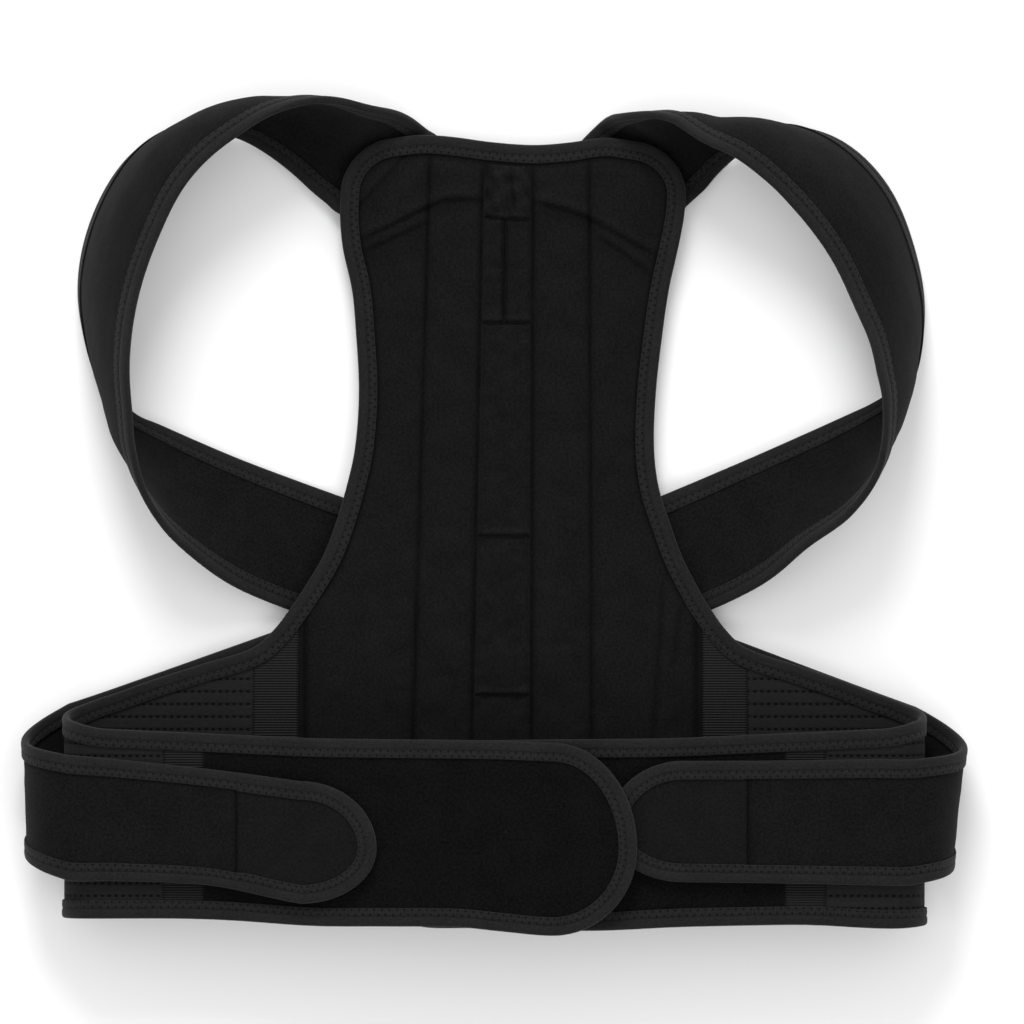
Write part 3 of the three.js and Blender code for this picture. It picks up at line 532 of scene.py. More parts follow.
def inset(x, height):
    """Distance inside the outline: the least of the distances to the sides, corner arcs, top and foot."""
    nearest = np.minimum(height, PANEL_HEIGHT - height)
    below = np.minimum(height, CORNER_HEIGHT)
    over = height - CORNER_HEIGHT
    for side in (-1, 1):
        edge = panel_edge(side, below)
        lean = panel_edge(side, below + 1) - edge
        straight = side * (edge - x) / np.sqrt(1 + lean**2)
        out = side * x - half_width(side, CORNER_HEIGHT) + PANEL_CORNER
        arc = PANEL_CORNER - np.hypot(np.maximum(out, 0), np.maximum(over, 0))
        nearest = np.minimum(nearest, np.where(over > 0, np.where(out > 0, arc, nearest), straight))
    return np.maximum(nearest, 0)


def seam_distance(x, height):
    """Distance to the nearest seam."""
    return np.min([np.abs(x - seam_at(seam, height)) for seam in range(len(SEAMS))], axis=0)


class Panel:
    """The panel's padded surface. swell is what the cloth simulation adds to it, on its own coarse grid."""

    rows, columns = 100, 62
    swell = None

    def plain(self, x, height):
        """Padding above the rim: it rises smoothly over the slope, and each seam sinks it by a bell."""
        full = smoothstep(inset(x, height), COVERED - 1, COVERED - 1 + PADDING_SLOPE)
        sunk = SEAM_SINK * bell(seam_distance(x, height), SEAM_WIDTH)
        return PADDING * full * (1 - sunk * smoothstep(PANEL_HEIGHT - height, 10, 22))

    def lines(self, x, height):
        """Ridges of the straps' ends and slanted creases: a bell above each line and a hollow below it, and
        the light lost in the hollows, painted as shade, with painted light above the ridges."""
        total, lost = np.zeros_like(x), np.zeros_like(x)
        for line, stand in RIDGES:
            xs, ys = np.array(line).T
            slope = np.interp(x, xs, np.gradient(ys, xs))
            beyond = (height - np.interp(x, xs, ys)) / np.sqrt(1 + slope**2)
            ends = smoothstep(x, xs[0] - 6, xs[0] + 6) * (1 - smoothstep(x, xs[-1] - 8, xs[-1] + 8))
            total += stand * ends * bells(beyond, RIDGE_RELIEF)
            lost += ends * (0.4 + 0.5 * stand) * bells(beyond, RIDGE_SHADE)
            lost -= ends * bells(beyond, RIDGE_LIGHT)
        for (x0, y0), (x1, y1) in CREASES:
            share = np.clip((height - y0) / (y1 - y0), -0.3, 1.3)
            beyond = x - (x0 + (x1 - x0) * share)
            ends = smoothstep(share, -0.2, 0.1) * (1 - smoothstep(share, 0.9, 1.25))
            total += ends * bells(beyond, CREASE_RELIEF)
            lost += ends * bells(beyond, CREASE_SHADE)
        return total, lost

    def folds(self, x, height):
        """The lines' relief, puckers along the seams and the cover's soft waves."""
        near = bell(seam_distance(x, height), PUCKER_REACH)
        pucker = np.sin(height * 2 * math.pi / PUCKER_PITCH + 2 * ripple(x, height, 4, 60)) * near
        waves = 0.16 * ripple(x, height, 7, 46) + 0.05 * ripple(x, height, 9, 9)
        return self.lines(x, height)[0] + 0.1 * pucker + waves

    def lost_light(self, x, height):
        """Painted shade in seams, along the slit, in ridges' hollows and beside tape and webbing, and painted
        light above the ridges: bells round each line.
        """
        seam = seam_distance(x, height)
        under = smoothstep(PANEL_HEIGHT - height, 8, 14)
        uneven = 0.85 + 0.15 * ripple(x, height, 17, 25)
        lost = under * uneven * bells(seam, SEAM_SHADE)
        # The slit between the flaps is painted dark on the panel beneath it: painted shade.
        slit = x - seam_at(1, height) - SLIT * (seam_at(2, height) - seam_at(1, height))
        low, high = (share * PANEL_HEIGHT for share in SLIT_SHARES)
        lost += smoothstep(height, low, low + 0.01 * PANEL_HEIGHT) * (height < high) * bell(slit, 1.5)
        taped = smoothstep(height, JOINT_HEIGHT - 8, JOINT_HEIGHT + 4)
        rim = inset(x, height)
        lost += taped * bells(rim - COVERED, TAPE_SHADE) + (1 - taped) * bells(rim, WEBBING_SHADE)
        return lost + self.lines(x, height)[1]

    def top(self, x, height):
        """Level of the panel's upper face."""
        full = smoothstep(inset(x, height), COVERED - 2, COVERED + PADDING_SLOPE)
        lift = self.plain(x, height) + full * self.folds(x, height)
        if self.swell is not None:
            lift = lift + full * self.swell_at(x, height)
        return PANEL_LEVEL + CLOTH / 2 + lift

    def swell_at(self, x, height):
        """Bilinear reading of the simulated swelling, by the shares across and up."""
        left, right = panel_edge(-1, height), panel_edge(1, height)
        column = np.clip((x - left) / np.maximum(right - left, 1), 0, 1) * (self.columns - 1)
        row = np.clip(height / PANEL_HEIGHT, 0, 1) * (self.rows - 1)
        i = np.minimum(row.astype(int), self.rows - 2)
        j = np.minimum(column.astype(int), self.columns - 2)
        s, t = row - i, column - j
        a, b = (self.swell[k, j] * (1 - t) + self.swell[k, j + 1] * t for k in (i, i + 1))
        return a * (1 - s) + b * s

    def simulate(self):
        """Blows the cover up between its seams: Blender's cloth on the sheet, sewn down at the rim and the
        seams, pressed from below for 20 steps. What it rises above the plain padding is kept, capped."""
        x, height = panel_grid(np.linspace(0, PANEL_HEIGHT, self.rows), self.columns)
        start = self.plain(x, height)
        points = np.stack([x, height, start + 0.04 * ripple(x, height, 3, 18)], -1).reshape(-1, 3) / 1000
        i, j = np.meshgrid(np.arange(self.rows - 1), np.arange(self.columns - 1), indexing="ij")
        a = (i * self.columns + j).ravel()
        mesh = bpy.data.meshes.new("cover_trial")
        mesh.from_pydata(points, [], np.stack([a, a + 1, a + 1 + self.columns, a + self.columns], -1))
        trial = bpy.data.objects.new("cover_trial", mesh)
        bpy.context.collection.objects.link(trial)
        held = (inset(x, height) < COVERED) | (seam_distance(x, height) < SEWN_BESIDE)
        sewn = trial.vertex_groups.new(name="sewn")
        sewn.add(np.flatnonzero(held.ravel()).tolist(), 1.0, "REPLACE")
        settings = trial.modifiers.new("cover", "CLOTH").settings
        settings.quality = 6
        settings.mass = 0.25
        settings.tension_stiffness = settings.compression_stiffness = 12
        settings.bending_stiffness = 0.4
        settings.vertex_group_mass = "sewn"
        settings.shrink_min = -0.012
        settings.use_pressure = True
        settings.uniform_pressure_force = 3.5
        settings.effector_weights.gravity = 0
        scene = bpy.context.scene
        for step in range(1, 21):
            scene.frame_set(step)
        shown = trial.evaluated_get(bpy.context.evaluated_depsgraph_get())
        moved = np.empty(len(points) * 3, np.float32)
        shown.data.vertices.foreach_get("co", moved)
        bpy.data.objects.remove(trial)
        bpy.data.meshes.remove(mesh)
        scene.frame_set(1)
        rise = 1000 * moved.reshape(self.rows, self.columns, 3)[..., 2] - start
        self.swell = np.clip(rise, *SWELL_LIMITS)


PANEL = Panel()


def make_panel(material):
    """Closed cushion: the padded upper face and the flat lower face share their outline."""
    rows, columns = PANEL_GRID
    heights = np.r_[np.linspace(0, CORNER_HEIGHT, rows), rounding(CORNER_HEIGHT, PANEL_CORNER, 15)]
    x, height = panel_grid(heights, columns)
    y = waved(x, height)
    upper = np.stack([x, y, PANEL.top(x, height)], -1)
    lower = np.stack([x, y, np.full_like(x, PANEL_LEVEL - CLOTH / 2)], -1)
    fold = np.concatenate([PANEL.lost_light(x, height), np.zeros_like(x)], 1)
    return finished("panel_cloth", both(upper, lower), y[:, 0], there_and_back(x), material, fold=fold)


def make_patch(name, low, high, start, end, material):
    """Sewn patch: the panel's relief lifted by the cloth's thickness, which falls off in a round at its
    edges; the lower face lies just above the relief."""
    heights = spaced(low * PANEL_HEIGHT, high * PANEL_HEIGHT, 0.6)[:, None]
    left = seam_at(1, heights) + PATCH_INSET
    width = seam_at(2, heights) - PATCH_INSET - left
    share = np.linspace(start, end, PATCH_COLUMNS)
    x = left + width * share
    height = np.repeat(heights, len(share), 1)
    to_side = np.minimum(share - start, end - share) * width
    to_foot = height - height[0, 0]
    to_end = np.minimum(to_foot, height[-1, 0] - height)
    to_seam = np.minimum(share, 1 - share) * width
    rim = (1 - np.exp(-to_side / 0.45)) * (1 - np.exp(-to_end / 0.45)) * (1 - np.exp(-to_seam / 1.8))
    lip = bells(to_foot, FOOT_LIP) + bells(to_end, END_LIP)
    base = PANEL.top(x, height)
    tongue = "tongue" in name
    rough = TONGUE_ROUGH if tongue else PATCH_ROUGH
    # A second line of stitches down the tongue, which leans a little
    across = (share - 0.68 + 0.004 * to_foot) * width
    inner = tongue * bell(across, 1.3) * smoothstep(to_foot, 3, 6)
    sag = rough * ripple(x, height, 12, 24 - 30 * rough) - 0.5 * inner
    # Painted shade and light in the patch's colour: painted shade at its sides and ends, along the tongue's
    # stitch line, over the tongue's left part, along the slit and in a line at the foot; a painted highlight
    # just above the foot; a small random pattern of lighter and darker; a little darker overall.
    lost = 0.35 * bell(to_side, 1.4) + (0.1 if tongue else 0.4) * bell(to_end, 0.9)
    lost += 0.45 * inner + tongue * 0.25 * smoothstep(share, 0.4, 0.0)
    lost += (end - start < 0.6) * 0.8 * bell(np.abs(share - SLIT) * width, 1.7)
    lost += 0.06 - 0.22 * bell(to_foot - 3.6, 1.4) - 0.8 * rough * ripple(x, height, 14, 9)
    lost += 0.7 * bell(to_foot, 1.5)
    y = waved(x, height)
    upper = np.stack([x, y, base + PATCH_LIFT + rim * (1.0 + lip + sag)], -1)
    lower = np.stack([x, y, base + PATCH_LIFT / 2], -1)
    # The hidden lower face is painted fully dark: painted shade.
    fold = np.concatenate([lost, np.ones_like(lost)], 1)
    return finished(name, both(upper, lower), y[:, 0], there_and_back(x), material, fold=fold)


# Belt


def wing_edges(side, way):
    """Heights of the wing's upper and lower edge, with the round end at its tip."""
    on = BELT[side]
    flat = on.front + FRONT_REACH - BELT_END
    place = on.place(np.minimum(way, flat), half_width(side, 0), FRONT_REACH)
    top = BELT_HEIGHT + through(WING, 1, place) * (JOINT_HEIGHT - BELT_HEIGHT)
    bottom = BELT_HEIGHT * through(WING, 2 if side < 0 else 3, place)
    return rounded(top, bottom, way - flat, BELT_END)


def wing_cuts(side):
    """Ways where the wing's pieces meet: webbing, elastic, front webbing and pad."""
    start, front = half_width(side, 0), BELT[side].front
    inner = [start + WEBBING_WIDTH, front + FRONT_ELASTIC, front + FRONT_ELASTIC + FRONT_WEBBING_WIDTH]
    return [start + GAP, *inner, front + FRONT_REACH - 0.6]


def make_wing_piece(name, side, first, last, material, thick, relief):
    """Band on the belt's track: upper and lower face, with the same relief added to both. relief is its
    height, the seed and size of its waves, and how much it is drawn out along the band."""
    flat = BELT[side].front + FRONT_REACH - BELT_END
    ways = spaced(first, min(last, flat), 2.0)
    if last > flat:
        ways = np.r_[ways, rounding(flat, BELT_END, 22, TIP_SHORT)]
    top, bottom = wing_edges(side, ways)
    share, way, y = band(ways, top, bottom, WING_COLUMNS)
    rise, seed, size, drawn = relief
    bulge = rise * ripple(way / drawn, y, seed, size) * np.sin(math.pi * share) ** 0.5
    rings = both(BELT[side].at(way, y, thick / 2 + bulge), BELT[side].at(way, y, -thick / 2 + bulge))
    return finished(name, rings, ways, there_and_back(y), material), flat_cut(ways, top, bottom)


def wing_line(side):
    """The wing's edge in the flat, out along one side and back along the other: out above on the left, out
    below on the right."""
    flat = BELT[side].front + FRONT_REACH - BELT_END
    ways = np.r_[spaced(wing_cuts(side)[0] + 1, flat, 2), rounding(flat, BELT_END, 30)]
    out, back = (np.stack([side * ways, edge], -1) for edge in wing_edges(side, ways)[::-side])
    return out, back[-2::-1]


def belt_line():
    """The edge of panel and belt as one closed line in the flat, resampled and smoothed."""
    heights = np.r_[spaced(JOINT_HEIGHT, CORNER_HEIGHT, 2), rounding(CORNER_HEIGHT, PANEL_CORNER, 24)]
    right, left = panel_edge(1, heights), panel_edge(-1, heights)
    top = spaced(right[-1], left[-1], 2)[1:-1]
    plain = np.stack(
        [np.r_[right, top, left[::-1]], np.r_[heights, np.full_like(top, PANEL_HEIGHT), heights[::-1]]], -1
    )
    plain[:, 1] = waved(plain[:, 0], plain[:, 1])
    foot = spaced(-half_width(-1, 0), half_width(1, 0), 2)
    closed = np.concatenate(
        [plain, *wing_line(-1), np.stack([foot, np.zeros_like(foot)], -1), *wing_line(1), plain[:1]]
    )
    length = path_length(closed)
    at = np.linspace(0, length[-1], int(length[-1] / LINE_STEP), endpoint=False)
    line = np.stack([np.interp(at, length, closed[:, k]) for k in (0, 1)], -1)
    for _ in range(3):
        line = (np.roll(line, 1, 0) + 2 * line + np.roll(line, -1, 0)) / 4
    return line, at, length[-1]


def tape_profile():
    """Half round tape folded over the edge: distance beyond the cloth's edge and height above its middle,
    for the upper half, its mirror image, and the hidden slot; and the distance from the tape's lip."""
    upper = np.array(TAPE_SECTION)
    lower = upper[-2::-1] * [1, -1]
    lip = path_length(upper)
    away = np.r_[lip, lip[-2::-1], 0, lip[-1], lip[-1], 0, 0]
    return np.concatenate([upper, lower, TAPE_SLOT]), away


def make_belt_tape(material):
    """The tape's profile carried round the closed edge line, standing square to it in the flat."""
    line, along, total = belt_line()
    tangent = unit(np.roll(line, -1, 0) - np.roll(line, 1, 0))
    out = np.stack([tangent[:, 1], -tangent[:, 0]], -1)
    profile, away = tape_profile()
    flat = line[:, None, :] + out[:, None, :] * profile[None, :, :1]
    waves = 1 + 0.05 * ripple(along, 0 * along, 21, 30)[:, None]
    rings = on_belt(flat[..., 0], flat[..., 1], profile[None, :, 1] * waves)
    return finished("belt_tape", rings, np.r_[along, total], away, material, ring=True)


# Shoulder straps


def loop_edges(side, run_level):
    """Both edges of an arm loop: the first from the table, the second a chord away in the table's direction,
    up by its tilt and round by its heading."""
    table = [(index, *row) for index, row in enumerate(LOOP[side])]
    at = spaced(0, len(table) - 1, 0.09)
    out, down, heading, tilt, bow, hold = (through(table, column, at) for column in range(1, 7))
    held = np.where(at < len(table) / 2, UPPER_STRAP, run_level)
    bow = np.maximum(bow, 0)
    half = np.maximum(np.radians(bow) / 2, 0.001)
    chord = STRAP_WIDTH * np.sin(half) / half
    heading, tilt = np.radians(heading), np.radians(tilt)
    across = [-side * np.cos(tilt) * np.cos(heading), np.cos(tilt) * np.sin(heading), np.sin(tilt)]
    across = np.stack(across, -1)
    x = side * (half_width(side, CORNER_HEIGHT) + RIM + out * LOOP_REACH)
    edge = np.stack([x, PANEL_HEIGHT - down * LOOP_DROP, LOOP_REST + hold * (held - LOOP_REST)], -1)
    first = edge + RIM * across
    return first, first + chord[:, None] * across, bow


def eased(points, passes=40):
    """Line of points with the small waves of its middle smoothed: each pass weighs a point 1 : 2 : 1 with
    its neighbours, and the result fades back to the given points towards both ends."""
    smooth = np.array(points)
    for _ in range(passes):
        smooth[1:-1] = (smooth[:-2] + 2 * smooth[1:-1] + smooth[2:]) / 4
    place, count = np.arange(len(points)), len(points)
    share = smoothstep(place, 8, 40) * (1 - smoothstep(place, count - 70, count - 35))
    return points + share[:, None] * (smooth - points)


class Strap:
    """One strap: side is the side of its arm loop, and it ends in front on the other side."""

    def __init__(self, side, run_level, rise):
        self.side, self.far = side, -side
        front_level = FRONT_LEVEL + FRONT_LAYER
        self.start = half_width(self.far, 0)
        radius = (front_level - run_level) / 2
        self.on = Track(self.far, BELT_EXTREME + STRAP_OVERHANG, radius, run_level, front_level, rise)
        self.finish = self.on.front + STRAP_REACH
        self.seam = self.finish - TAB_LENGTH
        first, second, bow = loop_edges(side, run_level)
        across = unit(second[0] - first[0])
        back = SEWN_END * side * np.array([-across[1], across[0], 0])
        stops = [self.start, self.on.bend, self.on.front, self.seam - 4, self.seam]
        runs = [spaced(*stops[k : k + 2], pitch)[1:] for k, pitch in enumerate((3, 2.5, 3, 0.5))]
        ways = np.r_[self.start, np.concatenate(runs)]
        round_first, round_second = self.round_edges(ways)
        self.first = np.concatenate([[first[0] + back], eased(first), round_first])
        self.second = np.concatenate([[second[0] + back], eased(second), round_second])
        self.bow = np.r_[0, bow, np.zeros(len(ways))]
        self.frames()

    def round_edges(self, way):
        """Both edges behind the panel and round the belt, from the table of tops, depths and slants."""
        place = self.on.place(way, self.start, STRAP_REACH)
        top, depth, slant = (through(ROUND[self.far], column, place) for column in (1, 2, 3))
        first = self.on.at(way, BELT_HEIGHT * top, 0)
        shift = np.stack([-self.far * slant, -depth, 0 * slant], -1) * STRAP_WIDTH
        return first, first + shift

    def frames(self):
        """For each section: the arc's centre, its radius, and the directions outwards and across."""
        middle = (self.first + self.second) / 2
        span = self.second - self.first
        self.across = unit(span)
        outward = -self.side * unit(np.cross(np.gradient(middle, axis=0), span))
        outward -= (outward * self.across).sum(-1, keepdims=True) * self.across
        self.out = unit(outward)
        self.turn = np.maximum(np.radians(self.bow), 0.002)[:, None]
        chord = np.linalg.norm(span, axis=1)[:, None]
        self.radius = chord / 2 / np.sin(self.turn / 2)
        self.centre = middle - self.out * self.radius * np.cos(self.turn / 2)
        self.along = path_length(middle)

    def at(self, width, off):
        """Points of all sections at widths across the strap, off its middle surface, on each one's arc."""
        width, off = np.broadcast_arrays(np.asarray(width, float), np.asarray(off, float))
        angle = (self.turn * (width / STRAP_WIDTH - 0.5))[..., None]
        ray = self.out[:, None, :] * np.cos(angle) + self.across[:, None, :] * np.sin(angle)
        return self.centre[:, None, :] + (self.radius - off)[..., None] * ray

    def tab_edges(self, way):
        """Heights of the tab's edges, with the round end."""
        flat = self.finish - STRAP_END
        first, second = self.round_edges(np.minimum(way, flat))
        return rounded(first[..., 1], second[..., 1], way - flat, STRAP_END)


STRAPS = {-1: Strap(-1, LOWER_STRAP, level_front), 1: Strap(1, UPPER_STRAP, climb)}


def make_strap(name, strap, material):
    """Strap's cloth: both faces on the sections' arcs, with a low relief that fades under the tape."""
    width = np.linspace(0.2, STRAP_WIDTH - 0.2, STRAP_COLUMNS)[None, :]
    along = strap.along[:, None]
    fade = np.sin(math.pi * width / STRAP_WIDTH)
    waves = 0.22 * ripple(along, width, 30 + strap.side, 34) + 0.1 * ripple(along, width, 40, 13)
    rings = both(*(strap.at(width, half + fade * waves) for half in (CLOTH / 2, -CLOTH / 2)))
    # Painted shade: the strap's cloth darkens towards its end at the tab's seam.
    fold = 0.75 * bell(np.repeat(strap.along[-1] - along, 2 * width.size, 1), 1.8)
    return finished(name, rings, strap.along, there_and_back(width), material, fold=fold)


def make_tab(name, strap, material):
    """Round ended tab on the strap's track, crowned a little between its tapes."""
    flat = strap.finish - STRAP_END
    near, far = spaced(strap.seam + GAP, strap.seam + 4, 0.5)[:-1], spaced(strap.seam + 4, flat, 2)
    ways = np.r_[near, far, rounding(flat, STRAP_END, 20, TIP_SHORT)]
    top, bottom = strap.tab_edges(ways)
    share, way, y = band(ways, top, bottom, STRAP_COLUMNS)
    to_seam = way - ways[0]
    lip = 1 - np.exp(-to_seam / 0.5)
    crown = (0.25 + 0.15 * ripple(way, y, 51, 22)) * np.sin(math.pi * share) * lip
    upper = strap.on.at(way, y, 0.55 * CLOTH * (0.6 + 0.4 * lip) + crown)
    rings = both(upper, strap.on.at(way, y, -CLOTH / 2))
    # Painted shade: the tab darkens beside its seam.
    lost = 0.5 * bell(to_seam, 1.1)
    piece = finished(name, rings, ways, there_and_back(y), material, fold=both(lost, lost))
    return piece, flat_cut(ways, top, bottom)


def make_strap_tape(name, strap, material):
    """The tape's profile along the strap's first edge, round its end and back along the second edge."""
    profile, away = tape_profile()
    beyond, off = profile[None, :, 0], profile[None, :, 1]
    flat = strap.finish - STRAP_END
    ways = np.r_[spaced(strap.seam + 2, flat, 2), rounding(flat, STRAP_END, 28)]
    top, bottom = strap.tab_edges(ways)
    line = np.stack([np.r_[ways, ways[-2::-1]], np.r_[top, bottom[-2::-1]]], -1)
    tangent = unit(np.gradient(line, axis=0))
    out = np.stack([-tangent[:, 1], tangent[:, 0]], -1)
    place = line[:, None, :] + out[:, None, :] * beyond[..., None]
    end = strap.on.at(place[..., 0], place[..., 1], off)
    rings = np.concatenate([strap.at(-beyond, off), end, strap.at(STRAP_WIDTH + beyond, off)[::-1]])
    along = path_length(rings[:, len(TAPE_SECTION) - 1])
    return finished(name, rings, along, away, material)


# Shader groups


class Wires:
    """Adds nodes to a node tree and joins them: a number or colour sets an input, a socket feeds it."""

    def __init__(self, tree):
        self.tree = tree

    def node(self, kind, inputs=(), **settings):
        made = self.tree.nodes.new(kind)
        for key, value in settings.items():
            setattr(made, key, value)
        for key, value in dict(inputs).items():
            if isinstance(value, bpy.types.NodeSocket):
                self.tree.links.new(value, made.inputs[key])
            else:
                made.inputs[key].default_value = value
        return made

    def math(self, operation, *values):
        return self.node("ShaderNodeMath", dict(enumerate(values)), operation=operation).outputs[0]

    def blend(self, factor, low, high):
        return self.node("ShaderNodeMix", {0: factor, 6: low, 7: high}, data_type="RGBA").outputs[2]

    def ramp(self, value, low, high):
        """0 below low, 1 above high, and smooth between them."""
        inputs = {"Value": value, "From Min": low, "From Max": high}
        return self.node("ShaderNodeMapRange", inputs, interpolation_type="SMOOTHSTEP").outputs["Result"]

    def fade(self, value, low, high):
        """1 less the ramp."""
        return self.math("SUBTRACT", 1.0, self.ramp(value, low, high))

    def apart(self, a, b):
        return self.math("ABSOLUTE", self.math("SUBTRACT", a, b))

    def wave(self, place, pitch):
        """Sine of the place, one period to a pitch."""
        return self.math("SINE", self.math("MULTIPLY", self.math("DIVIDE", place, pitch), math.tau))

    def from_middle(self, place, pitch):
        """Signed distance from the middle of the repeat of a pitch that the place lies in."""
        half = self.math("MULTIPLY", pitch, 0.5)
        return self.math("SUBTRACT", self.math("MODULO", place, pitch), half)

    def length(self, x, y):
        pair = self.node("ShaderNodeCombineXYZ", {0: x, 1: y}).outputs[0]
        return self.node("ShaderNodeVectorMath", {0: pair}, operation="LENGTH").outputs["Value"]

    def noise(self, place, scale, detail, roughness=0.5):
        inputs = {"Vector": place, "Scale": scale, "Detail": detail, "Roughness": roughness}
        return self.node("ShaderNodeTexNoise", inputs).outputs[0]

    def plan(self, place):
        """Along and across."""
        return self.node("ShaderNodeSeparateXYZ", {0: place}).outputs[:2]


def shared(name, numbers):
    """Makes a builder of masks the maker of the shader group of that name, built once. The group takes the
    cloth's UV map and the named numbers, and puts out what the builder returns."""

    def wrap(build):
        @functools.cache
        def made():
            tree = bpy.data.node_groups.new(name, "ShaderNodeTree")
            face = tree.interface
            face.new_socket("UV", in_out="INPUT", socket_type="NodeSocketVector")
            for key, value in numbers.items():
                socket = face.new_socket(key, in_out="INPUT", socket_type="NodeSocketFloat")
                socket.default_value = value
            wires = Wires(tree)
            results = build(wires, wires.node("NodeGroupInput").outputs)
            for key in results:
                face.new_socket(key, in_out="OUTPUT", socket_type="NodeSocketFloat")
            wires.node("NodeGroupOutput", results)
            return tree

        return made

    return wrap


@shared("Cloth Weave", {"Pitch Along": 0.0008, "Pitch Across": 0.0008, "Fuzz": 0.4})
def weave_group(wires, given):
    """Woven or knitted ground: crossed sine waves of two pitches, roughened by fine noise. Its mottle is one
    part of broad noise to three of fine."""
    along, across = wires.plan(given["UV"])
    along, across = wires.wave(along, given["Pitch Along"]), wires.wave(across, given["Pitch Across"])
    threads = wires.math("MULTIPLY_ADD", wires.math("MULTIPLY", along, across), 0.5, 0.5)
    rough = wires.math("SUBTRACT", wires.noise(given["UV"], 2600.0, 2.0), threads)
    height = wires.math("MULTIPLY_ADD", rough, given["Fuzz"], threads)
    grain = wires.math("MULTIPLY", wires.noise(given["UV"], 650.0, 3.0, 0.7), 0.75)
    mottle = wires.math("MULTIPLY_ADD", wires.noise(given["UV"], 55.0, 4.0, 0.65), 0.25, grain)
    return {"Height": height, "Mottle": mottle}


@shared("Zigzag Stitch", {"Pitch": 0.0042, "Centre": 0.003, "Swing": 0.0018, "Thread": 0.0005})
def stitch_group(wires, given):
    """Zigzag seam: thread along a triangle wave, and a needle hole at each of its turns, which stand in two
    rows, half a pitch apart."""
    along, across = wires.plan(given["UV"])
    half = wires.math("MULTIPLY", given["Pitch"], 0.5)
    wave = wires.math("PINGPONG", along, half)
    across = wires.math("SUBTRACT", across, given["Centre"])
    lean = wires.math("SUBTRACT", wires.math("DIVIDE", wave, half), 0.5)
    apart = wires.apart(across, wires.math("MULTIPLY", lean, wires.math("MULTIPLY", given["Swing"], 2.0)))
    widest = wires.math("MULTIPLY", given["Thread"], 1.9)
    narrow = wires.math("MULTIPLY", widest, 0.3)
    holes = []
    for turn, row in ((0.0, -1.0), (half, 1.0)):
        beside = wires.math("SUBTRACT", wave, turn)
        above = wires.math("SUBTRACT", across, wires.math("MULTIPLY", given["Swing"], row))
        holes.append(wires.fade(wires.length(beside, above), narrow, widest))
    return {"Thread": wires.fade(apart, 0.0, given["Thread"]), "Hole": wires.math("MAXIMUM", *holes)}


@shared("Tape Ribs", {"Pitch": 0.0012, "Fuzz": 0.25})
def ribs_group(wires, given):
    """Ribs across a tape: a sine wave, broken by the yarns' weaker one the other way and by noise."""
    along, across = wires.plan(given["UV"])
    rib = wires.math("MULTIPLY_ADD", wires.wave(across, given["Pitch"]), 0.42, 0.5)
    yarned = wires.math("MULTIPLY_ADD", wires.wave(along, YARN_PITCH), 0.08, rib)
    noise = wires.math("SUBTRACT", wires.noise(given["UV"], 1400.0, 2.0), 0.5)
    return {"Height": wires.math("MULTIPLY_ADD", noise, given["Fuzz"], yarned)}


@shared("Hole Rows", {"Row Pitch": 0.0071, "Hole Pitch": 0.0039, "Radius": 0.0008})
def holes_group(wires, given):
    """Rows of small long holes in elastic: the distance to the nearest point of a grid, and to its row."""
    along, across = wires.plan(given["UV"])
    to_row = wires.from_middle(wires.math("ADD", across, ROW_START), given["Row Pitch"])
    to_hole = wires.math("MULTIPLY", wires.from_middle(along, given["Hole Pitch"]), 0.7)
    inner = wires.math("MULTIPLY", given["Radius"], 0.5)
    hole = wires.fade(wires.length(to_row, to_hole), inner, given["Radius"])
    return {"Hole": hole, "Row": wires.fade(wires.math("ABSOLUTE", to_row), 0.0004, 0.0016)}


@shared("Lint", {"Scale": 140.0, "Amount": 0.04})
def lint_group(wires, given):
    """Sparse specks of lint: cells of a fine pattern, kept where the cell's own number is high."""
    cells = wires.node("ShaderNodeTexVoronoi", {"Vector": given["UV"], "Scale": given["Scale"]}).outputs
    number = wires.node("ShaderNodeSeparateColor", {0: cells["Color"]}).outputs[0]
    kept = wires.math("GREATER_THAN", number, wires.math("SUBTRACT", 1.0, given["Amount"]))
    return {"Speck": wires.math("MULTIPLY", wires.fade(cells["Distance"], 0.02, 0.07), kept)}


# Materials


